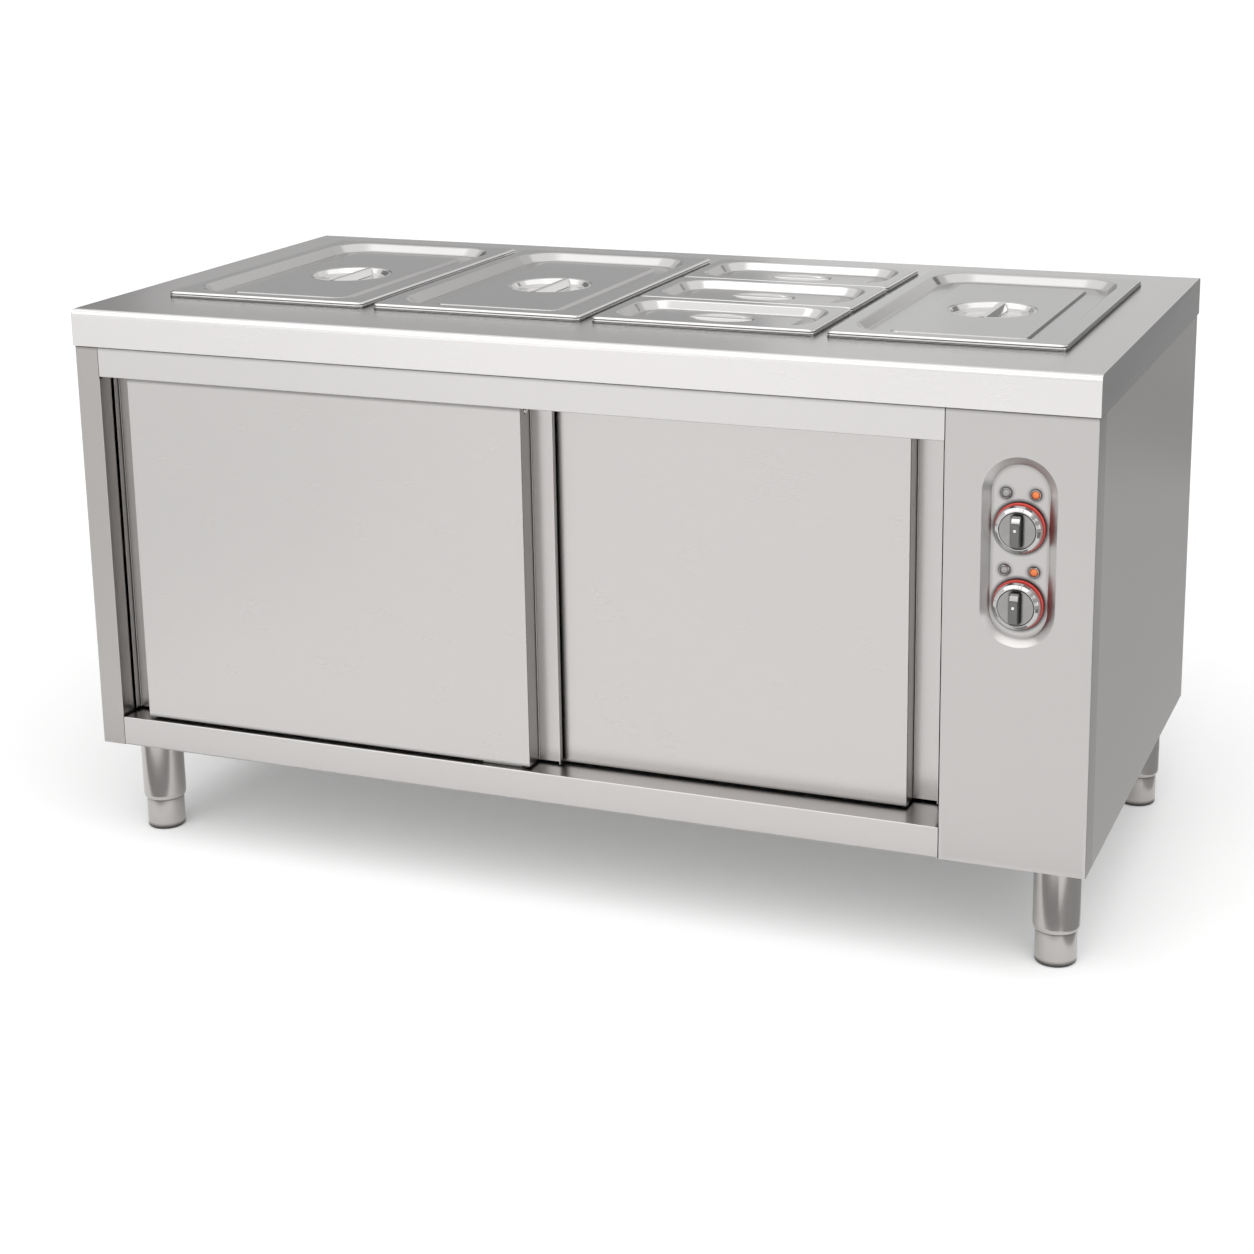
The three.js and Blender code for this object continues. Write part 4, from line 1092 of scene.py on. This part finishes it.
@dataclass
class SlidingDoor:
    """A folded door skin with a finger-pull strip down each side."""

    side: str
    gauge: float = 1.2 * MM
    bend: float = 1.8 * MM
    strip: float = 36 * MM
    lip: float = 10 * MM
    stud: float = 4.5 * MM
    stud_drop: float = 22 * MM

    def build(self) -> None:
        """Make the door."""
        node = f"{self.side}_door"
        low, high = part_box(node)
        left, right = low.x + self.gauge, high.x - self.gauge
        front, back = low.y, high.y - self.gauge
        wall = right - self.strip
        path = [(left, back - self.lip), (left, back), (left + self.strip, back),
                (left + self.strip, front), (wall, front), (wall, back), (right, back),
                (right, back - self.lip)]
        outline = folded(path, self.gauge, self.bend)
        door = Skin(f"{node}_skin", Finish.DOOR).prism(outline, Axis.Z, (low.z, high.z))
        behind = front + self.lip
        # Sideways return walls take a darker copy of the steel, a painted shade; the recessed
        # strips take a copy with a shorter painted seam shade.
        door.painted(
            lambda face: 1 if abs(face.normal.x) > SQUARE else 2 * (face.center.y > behind),
            Finish.RETURN, Finish.STRIP).install(f"{node}_body", node)
        dress(Finish.INSIDE, f"{node}_liner")
        dress(Finish.NYLON, f"{node}_hanger")
        profile = [(0, wall + self.stud * 0.6), (self.stud * 0.6, wall + self.stud * 0.5),
                   (self.stud, wall + 0.2 * MM), (self.stud, wall - self.gauge / 2),
                   (0, wall - self.gauge / 2)]
        centre = ((front + back) / 2, high.z - self.stud_drop)
        stud = Skin(f"{node}_stud", Finish.CHROME)
        stud.turned(softened(profile, 1 * MM), Axis.X, centre, SMALL_SIDES).install(f"{node}_body")


@dataclass
class ControlPanel:
    """Front sheet wrapped round the right corner, with its pressed recess, dials and lamps."""

    gauge: float = 1.5 * MM
    bend: float = 1.8 * MM
    wrap: float = 42 * MM
    fold: float = 28 * MM
    half_wide: float = 49 * MM
    half_high: float = 125.5 * MM
    centre_drop: float = 236.5 * MM
    slope: float = 11.7 * MM
    depth: float = 8 * MM
    brim: float = 2 * MM
    press_bend: float = 0.9 * MM
    lip_ease: float = 0.3 * MM
    crease: float = 24.0

    def build(self) -> None:
        """Make the panel and what is on it."""
        place = Place("control_panel")
        low, high = place.low, place.high
        skin = Skin("control_panel_sheet", Finish.FRONT)
        middle = Vector((place.middle[0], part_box("worktop")[1].z - self.centre_drop))
        self._front(skin, low, high, middle)
        panel = skin.piece(self.crease, facing=(0, -1, 0)).thickened(self.gauge, self.crease)
        panel.install(CARCASS, "control_panel")
        left, right = low.x + self.gauge, high.x - self.gauge
        front, back = low.y + self.gauge, low.y + self.fold
        outline = [(left, front), (right, front), (right, back), (left, back)]
        ends = (low.z, low.z + self.gauge)
        lip = Skin("control_panel_lip", Finish.FRONT).prism(outline, Axis.Z, ends)
        lip.eased(self.lip_ease).install(CARCASS)
        for level in ("upper", "lower"):
            Dial(level).build()
            PilotLamp(f"{level}_left_lamp", Finish.CLEAR).build()
            PilotLamp(f"{level}_right_lamp", Finish.AMBER).build()

    def _front(self, skin: Skin, low: Vector, high: Vector, middle: Vector) -> None:
        """The sheet's outer face: recess, flat front, and both folded sides.

        Args:
            skin: takes the faces.
            low: lowest corner of the panel's box.
            high: highest corner of the panel's box.
            middle: centre of the recess, as x and z.
        """
        across = (low.x + 2 * self.bend, high.x - 2 * self.bend)
        outline = slot_outline(self.half_wide + self.brim, self.half_high + self.brim)
        border = self._border([point + middle for point in outline], middle, across,
                              (low.z, high.z))
        rings = [skin.ring(Axis.Y.at(point.lerp(middle, share), low.y) for point in border)
                 for share in (0.0, 0.02)]
        steps = [(-self.brim, 0.0), (0.0, 0.0), (self.slope, self.depth),
                 (self.slope + 3 * MM, self.depth)]
        for inset, sink in softened(steps, self.press_bend):
            ring = slot_outline(self.half_wide - inset, self.half_high - inset)
            rings.append(skin.ring(Axis.Y.at(point + middle, low.y + sink) for point in ring))
        skin.stack(rings, solid=False)
        sides = ((across[0], low.x, high.y), (across[1], high.x, low.y + self.wrap))
        for edge, corner, end in sides:
            heights = sorted(point.z for point in (skin.points[index] for index in rings[0])
                             if abs(point.x - edge) < 0.001 * MM)
            way = softened([(edge, low.y), (corner, low.y), (corner, end)], self.bend, 5)
            rows = [skin.ring((x, y, z) for z in heights) for x, y in way]
            for first, second in zip(rows, rows[1:]):
                skin.band(first, second, closed=False)

    def _border(self, outline: list[Vector], middle: Vector, across: Numbers,
                levels: Numbers) -> list[Vector]:
        """A point of the flat front's edge for each point of the recess, corners included.

        Args:
            outline: the recess's outline.
            middle: its centre.
            across: left and right edge of the front.
            levels: lower and upper edge of the front.

        Returns:
            As many points on the front's edge.
        """
        border = []
        for point in outline:
            ray = point - middle
            reaches = [(edges[1 if step > 0 else 0] - start) / step
                       for edges, start, step in zip((across, levels), middle, ray)
                       if abs(step) > 1e-9]
            border.append(middle + ray * min(reaches))
        for corner in (Vector((x, z)) for x in across for z in levels):
            nearest = min(range(len(border)), key=lambda index: (border[index] - corner).length)
            border[nearest] = corner
        return border


@dataclass
class Dial:
    """A red bezel ring and a chrome knob with a grip bar.

    A mark of the scale has an angle in degrees, half its width in millimetres, and where it starts
    and ends on the skirt's slope, as shares.
    """

    level: str
    skirt: float = 31 * MM
    shoulder: float = 29.6 * MM
    face: float = 25 * MM
    skirt_deep: float = 13 * MM
    grip_wide: float = 6 * MM
    grip_high: float = 21 * MM
    grip_reach: float = 12 * MM
    grip_limit: float = 20.0
    grip_crease: float = 30.0
    sides: int = 96
    scale: Path = ((6, 0.3, 0.2, 0.7), (14, 0.4, 0.1, 0.8), (47, 1.6, 0.05, 0.95),
                   (64, 2.4, 0.0, 1.0), (84, 2.0, 0.0, 1.0))

    def __post_init__(self) -> None:
        """Find the knob's place."""
        self.node = f"{self.level}_knob"
        self.body = f"{self.node}_body"
        place = Place(self.node)
        self.centre = Vector(place.centre(Axis.Y))
        self.tip, self.root = place.low.y, place.high.y
        self.front = self.tip + self.grip_reach

    def build(self) -> None:
        """Make the bezel and the knob."""
        self._bezel()
        self._knob()
        self._grip()
        self._spots()
        self._marks()

    def _bezel(self) -> None:
        """The red ring behind the knob."""
        node = f"{self.level}_bezel"
        place = Place(node)
        radius, front, back = place.half[0], place.low.y, place.high.y
        flange = front + 3 * MM
        profile = [(5 * MM, back), (radius - 5 * MM, back), (radius - 5 * MM, flange),
                   (radius, flange), (radius - 0.7 * MM, front), (radius - 4 * MM, front),
                   (5 * MM, front)]
        ring = Skin(f"{node}_ring", Finish.RED).turned(
            softened(profile, 1.2 * MM), Axis.Y, place.centre(Axis.Y), self.sides)
        ring.install(CARCASS, node)

    def _knob(self) -> None:
        """The knob's skirt and its sunk face."""
        front, back = self.front, self.front + self.skirt_deep
        profile = [(3 * MM, self.root), (3 * MM, back),
                   *near((self.skirt, back), (-4.0, 0.0), (0.0, -3.6), (0.0, -4.8)),
                   (self.shoulder, front + 3 * MM),
                   *near((self.face, front), (0.3, 0.2), (-0.7, 0.3), (-1.2, 1.2)),
                   (0, front + 1.2 * MM)]
        profile = softened(profile, 0.7 * MM)
        skirt = Skin(f"{self.node}_skirt", Finish.KNOB)
        skirt.turned(profile, Axis.Y, self.centre, self.sides).install(self.body, self.node)
        disc = [(0, front + 0.5 * MM), *near((self.face, front), (-1.8, 0.6), (-1.3, 1.4)),
                (0, front + 1.6 * MM)]
        face = Skin(f"{self.node}_face", Finish.DIAL)
        face.turned(disc, Axis.Y, self.centre, self.sides).install(self.body)

    def _grip(self) -> None:
        """The bar across the knob, with a thin slanted piece in the lighter knob finish at its
        upper end: a painted highlight.
        """
        tip, high, root = self.tip, self.grip_high, self.front + 1.4 * MM
        bar = ("grip", Finish.GRIP, 0.0, 1.8 * MM, 4, [
            (root, -high), (tip + 3.0 * MM, -high), (tip + 0.3 * MM, -high + 3 * MM),
            (tip, high * 0.55), (tip + 3.4 * MM, high * 0.86), (tip + 6.0 * MM, high),
            (root, high)])
        # A thin slanted piece in the lighter knob finish on the bar's upper end: a painted
        # highlight.
        crest = ("crest", Finish.KNOB, 0.7 * MM, 0.3 * MM, 2, [
            (tip, high * 0.6), (tip + 3.1 * MM, high * 0.88), (tip + 4.0 * MM, high * 0.84),
            (tip + 1.0 * MM, high * 0.56)])
        for name, finish, inset, ease, segments, side in (bar, crest):
            ends = (self.centre.x - self.grip_wide + inset, self.centre.x + self.grip_wide - inset)
            outline = [(y, self.centre.y + z) for y, z in side]
            piece = Skin(f"{self.node}_{name}", finish).prism(outline, Axis.X, ends)
            piece.eased(ease, self.grip_limit, segments, self.grip_crease).install(self.body)

    def _spots(self) -> None:
        """The dark dot on the knob's face and the pale ring on its bar."""
        dot = ("dot", Finish.MARK, (15.5, 1.5), self.front + 1.3 * MM, 0.0, 1.3)
        pointer = ("pointer", Finish.PALE, (-0.5, 3.0), self.tip + 0.4 * MM, 1.0, 1.9)
        for name, finish, (x, z), seat, inner, outer in (dot, pointer):
            ring = near((0.0, seat), (inner, 0.0), (outer, 0.0), (outer, -0.35), (inner, -0.35))
            middle = self.centre + Vector((x * MM, z * MM))
            piece = Skin(f"{self.node}_{name}", finish).turned(ring, Axis.Y, middle, SMALL_SIDES)
            piece.install(self.body)

    def _marks(self) -> None:
        """Plain scale marks on the knob's skirt."""
        inner = Vector((self.face + 0.3 * MM, self.front + 0.2 * MM))
        outer = Vector((self.shoulder, self.front + 3.0 * MM))
        skin = Skin(f"{self.node}_marks", Finish.TICK)
        for clockwise, half, start, end in self.scale:
            outward = Vector(polar(math.radians(90 - clockwise), 1.0, 1.0))
            across = Vector((-outward.y, outward.x)) * (half * MM)
            rows = []
            for lift in (0.2 * MM, -0.3 * MM):
                row = []
                for share, sign in ((start, -1), (start, 1), (end, 1), (end, -1)):
                    place = inner.lerp(outer, share)
                    point = self.centre + outward * place.x + across * sign
                    row.append(Axis.Y.at(point, place.y - lift))
                rows.append(skin.ring(row))
            skin.stack(rows)
        skin.piece().install(self.body)


@dataclass
class PilotLamp:
    """A small round lamp: chrome rim and domed lens."""

    node: str
    lens: Lens
    bore: float = 4.7 * MM
    stand: float = 5 * MM
    bulge: float = 3.6 * MM
    sides: int = 48

    def build(self) -> None:
        """Make the lamp."""
        place = Place(self.node)
        radius, centre = place.half[2], place.centre(Axis.Y)
        seat = place.low.y + self.stand
        rim = [(self.bore, place.high.y), (self.bore, seat),
               *near((radius, seat), (0.0, 0.0), (0.0, -1.0), (-0.9, -2.2), (-1.6, -1.6),
                     (-1.6, -0.4)),
               (0, seat - 0.4 * MM)]
        ring = Skin(f"{self.node}_rim", Finish.LAMP_RIM).turned(
            softened(rim, 0.4 * MM), Axis.Y, centre, self.sides)
        ring.install(CARCASS, self.node)
        dome = [polar(turn, radius - 1.7 * MM, -self.bulge, (0.0, seat - 0.6 * MM))
                for turn in sweep(10, math.pi / 2)]
        glass = Skin(f"{self.node}_lens", self.lens)
        glass.turned([(0, seat - 0.3 * MM), *dome], Axis.Y, centre, self.sides).install(CARCASS)


@dataclass
class Leg:
    """A turned sleeve and the foot that screws out of it."""

    corner: str
    wall: float = 5.2 * MM
    gap: float = 0.3 * MM
    foot_ease: float = 2 * MM
    sides: int = 72

    def build(self) -> None:
        """Make the leg."""
        node = f"{self.corner}_sleeve"
        place = Place(node)
        centre = place.centre(Axis.Z)
        flange, foot, root = place.half[0], place.low.z, place.high.z
        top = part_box("underside_panel")[0].z - self.gap
        radius, bore = flange - 2 * MM, flange - self.wall
        profile = [(0, root), (6 * MM, root), (6 * MM, top), (flange, top), (flange, top - 3 * MM),
                   (radius, top - 3.6 * MM),
                   *near((radius, foot), (0.0, 6.0), (-1.0, 2.0), (-2.4, 0.0)),
                   (bore, foot), (bore, top - 6 * MM), (0, top - 6 * MM)]
        sleeve = Skin(f"{node}_tube", Finish.LEG).turned(
            softened(profile, 1.4 * MM), Axis.Z, centre, self.sides)
        sleeve.install(CARCASS, node)
        node = f"{self.corner}_foot"
        place = Place(node)
        radius, low, high, ease = place.half[0], place.low.z, place.high.z, self.foot_ease
        profile = [(0, low), (radius - ease, low), (radius, low + ease), (radius, high - ease),
                   (radius - ease, high), (0, high)]
        insert = Skin(f"{node}_insert", Finish.LEG).turned(
            softened(profile, 1.2 * MM), Axis.Z, centre, self.sides)
        insert.install(f"{node}_body", node)


@dataclass
class Container:
    """A gastronorm pan and its lid. Insets run inwards from the rim's edge.

    The rim's curl and the dish's bowl are given in millimetres: inset, and height from the lid's
    top or from its raised middle.
    """

    name: str
    panel: float = 66 * MM
    rim: float = 22 * MM
    slope: float = 12 * MM
    recess_corner: float = 56 * MM
    tray_corner: float = 48 * MM
    dish: tuple[float, float] = (62 * MM, 62 * MM)
    bright_dish: bool = True
    bar_half: float = 9 * MM
    bar_drop: float = 9.5 * MM
    bar_gap: float = 1 * MM
    pan_gauge: float = 0.9 * MM
    lid_gauge: float = 0.8 * MM
    edge_corner: float = 10 * MM
    pan_corner: float = 45 * MM
    tray_drop: float = 12 * MM
    panel_drop: float = 8 * MM
    bright_rim: float = 2.5 * MM
    crease: float = 30.0
    curl: Path = ((0.8, -7.0), (0.0, -6.4), (0.0, -4.4), (1.7, -3.7), (0.1, -3.0), (0.1, -2.0),
                  (2.4, 0.0), (6.0, 0.0))
    bowl: Path = ((-3.0, 0.0), (-1.8, 0.0), (-0.4, -1.3), (0.8, -1.3), (2.0, -0.4), (3.2, -0.6),
                  (8.0, -7.0), (16.0, -9.4), (22.0, -9.6))

    def build(self) -> None:
        """Make the pan and the lid."""
        self._pan()
        self._lid()

    def _shell(self, part: str, keys: Path, bowl: Path, crease: float) -> Piece:
        """A pressed shape that shrinks step by step from the rim's edge, before it has its gauge.

        Args:
            part: pan or lid.
            keys: inset, height and corner radius of its rounded rectangles, from the rim inwards.
            bowl: inset and height of the ovals of a dish inside them.
            crease: edges sharper than this stay crisp, in degrees.

        Returns:
            The piece.
        """
        place = Place(f"{self.name}_{part}")
        middle = Vector(place.centre(Axis.Z))
        width, depth = place.high.x - place.low.x, place.high.y - place.low.y
        outlines = [(rounded_rectangle(width - 2 * inset, depth - 2 * inset, corner), level)
                    for inset, level, corner in keys]
        outlines += [(oval(*(max(half - inset, 1 * MM) for half in self.dish)), level)
                     for inset, level in bowl]
        skin = Skin(f"{self.name}_{part}_shell", Finish.PRESSED)
        skin.stack([skin.ring(Axis.Z.at(point + middle, level) for point in outline)
                    for outline, level in outlines], solid=False)
        return skin.piece(crease, facing=(0, 0, 1))

    def _pan(self) -> None:
        """The pan below the lid."""
        node = f"{self.name}_pan"
        low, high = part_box(node)
        corner = self.pan_corner
        keys = [(0.0, high.z - 0.9 * MM, self.edge_corner), (0.0, high.z, self.edge_corner),
                (12.5 * MM, high.z, corner), (24.5 * MM, low.z + 12 * MM, corner),
                (37.5 * MM, low.z + 1 * MM, corner - 12 * MM)]
        keys = [*softened(keys[:3], 0.5 * MM), *softened(keys[1:], 5 * MM, 6)[1:]]
        shell = self._shell("pan", keys, (), CREASE).thickened(self.pan_gauge)
        shell.install(f"{node}_body", node)

    def _lid(self) -> None:
        """The lid with its sunk tray, raised middle, dish and bar."""
        node = f"{self.name}_lid"
        place = Place(node)
        top = place.high.z
        tray, panel = top - self.tray_drop, top - self.panel_drop
        curl = softened(near((0.0, top), *self.curl), 1.5 * MM)
        slope = softened([
            (6 * MM, top, self.edge_corner), (self.rim, top, self.recess_corner),
            (self.rim + self.slope, tray, self.tray_corner), (self.panel - 3 * MM, tray, 15 * MM),
        ], 2.6 * MM, 5)
        rise = softened(near((self.panel, tray, 0.0), (-2.0, 0.0, 14.0), (0.0, 0.0, 14.0))
                        + near((self.panel, panel, 0.0), (3.6, 0.0, 12.0), (8.0, 0.0, 12.0)),
                        0.9 * MM)
        keys = [*((inset, level, self.edge_corner) for inset, level in curl), *slope[1:], *rise]
        bowl = softened(near((0.0, panel), *self.bowl), 0.8 * MM)
        shell = self._shell("lid", keys, bowl, self.crease)
        middle = Vector(place.centre(Axis.Z))

        def bright(face: Any) -> int:
            """Tell the faces in the rim or in a bright dish, which take the lighter copy of the
            pressed steel as a painted highlight.

            Args:
                face: a face of the lid.

            Returns:
                1 for those faces, else 0.
            """
            x, y = face.center.xy - middle
            at_rim = max(abs(x) - place.half[0], abs(y) - place.half[1]) > -self.bright_rim
            in_dish = math.hypot(x / self.dish[0], y / self.dish[1]) < 1.0
            return int(at_rim or (in_dish and self.bright_dish))

        shell.thickened(self.lid_gauge, self.crease).painted(bright, Finish.POLISHED)
        shell.install(f"{node}_body", node)
        self._bar(node, middle, panel, place.half[1] > place.half[0])

    def _bar(self, node: str, middle: Vector, panel: float, lengthwise: bool) -> None:
        """The bar that spans the dish.

        Args:
            node: the lid's CAD node.
            middle: the lid's centre.
            panel: height of the raised middle.
            lengthwise: whether the bar runs along Y.
        """
        half, root = self.bar_half, panel - self.bar_drop
        side = [(0, root), (half * 1.3, root), (half * 0.5, panel - 0.4 * MM),
                (half * 0.3, panel + 0.4 * MM)]
        other_side = ((-across, level) for across, level in reversed(side))
        section = softened([*side, *other_side], 1 * MM, 3)[:-1]
        axis, reach = (Axis.Y, self.dish[1]) if lengthwise else (Axis.X, self.dish[0])
        offset, centre = middle if lengthwise else (middle.y, middle.x)
        outline = [(offset + across, level) for across, level in section]
        # A bright dish's bar takes the same lighter copy: a painted highlight.
        finish = Finish.POLISHED if self.bright_dish else Finish.PRESSED
        ends = (centre - reach + self.bar_gap, centre + reach - self.bar_gap)
        Skin(f"{node}_bar", finish).prism(outline, axis, ends).install(f"{node}_body")


@dataclass
class Heating:
    """Water tank, elements, thermostats, wiring and drain valve."""

    radius: float = 4.5 * MM
    slack: float = 0.97

    def build(self) -> None:
        """Dress the heating parts."""
        dress(Finish.INSIDE, "water_tank", "element_guard")
        for node in ("tank_element", "cupboard_element"):
            self._hairpin(node)
        dress(Finish.BLACK, "upper_thermostat", "lower_thermostat", "terminal_block",
              "cable_gland", "supply_wiring", "control_wiring")
        dress(Finish.BRASS, "drain_valve")
        dress(Finish.LEVER, "drain_lever")

    def _hairpin(self, node: str) -> None:
        """Bend an element bar.

        Args:
            node: the element's CAD node.
        """
        place = Place(node)
        half = place.half[1] - self.radius
        end, middle, level = place.high.x, place.middle[1], place.middle[2]
        bend = place.low.x + self.radius + half
        turns = (polar(turn, half, half, (bend, middle))
                 for turn in sweep(20, math.pi, math.pi / 2))
        path = [(end, middle + half, level), *((x, y, level) for x, y in turns),
                (end, middle - half, level)]
        bar = Skin(f"{node}_bar", Finish.SHEATH).piped(path, self.radius * self.slack)
        bar.install(CARCASS, node)


def main() -> None:
    """Build the studio and the counter in order."""
    logging.basicConfig(level=logging.INFO, format="%(name)s: %(message)s")
    Studio().build()
    Worktop().build()
    Cabinet().build()
    for side in ("left", "right"):
        SlidingDoor(side).build()
    ControlPanel().build()
    for corner in ("front_left", "front_right", "back_left", "back_right"):
        Leg(corner).build()
    for place in ("left", "centre", "right"):
        Container(f"full_{place}").build()
    for place in ("front", "middle", "back"):
        Container(f"third_{place}", panel=50 * MM, rim=18 * MM, slope=11 * MM,
                  recess_corner=46 * MM, tray_corner=38 * MM, dish=(46 * MM, 27 * MM),
                  bright_dish=False, bar_half=8 * MM).build()
    Heating().build()


if __name__ == "__main__":
    main()
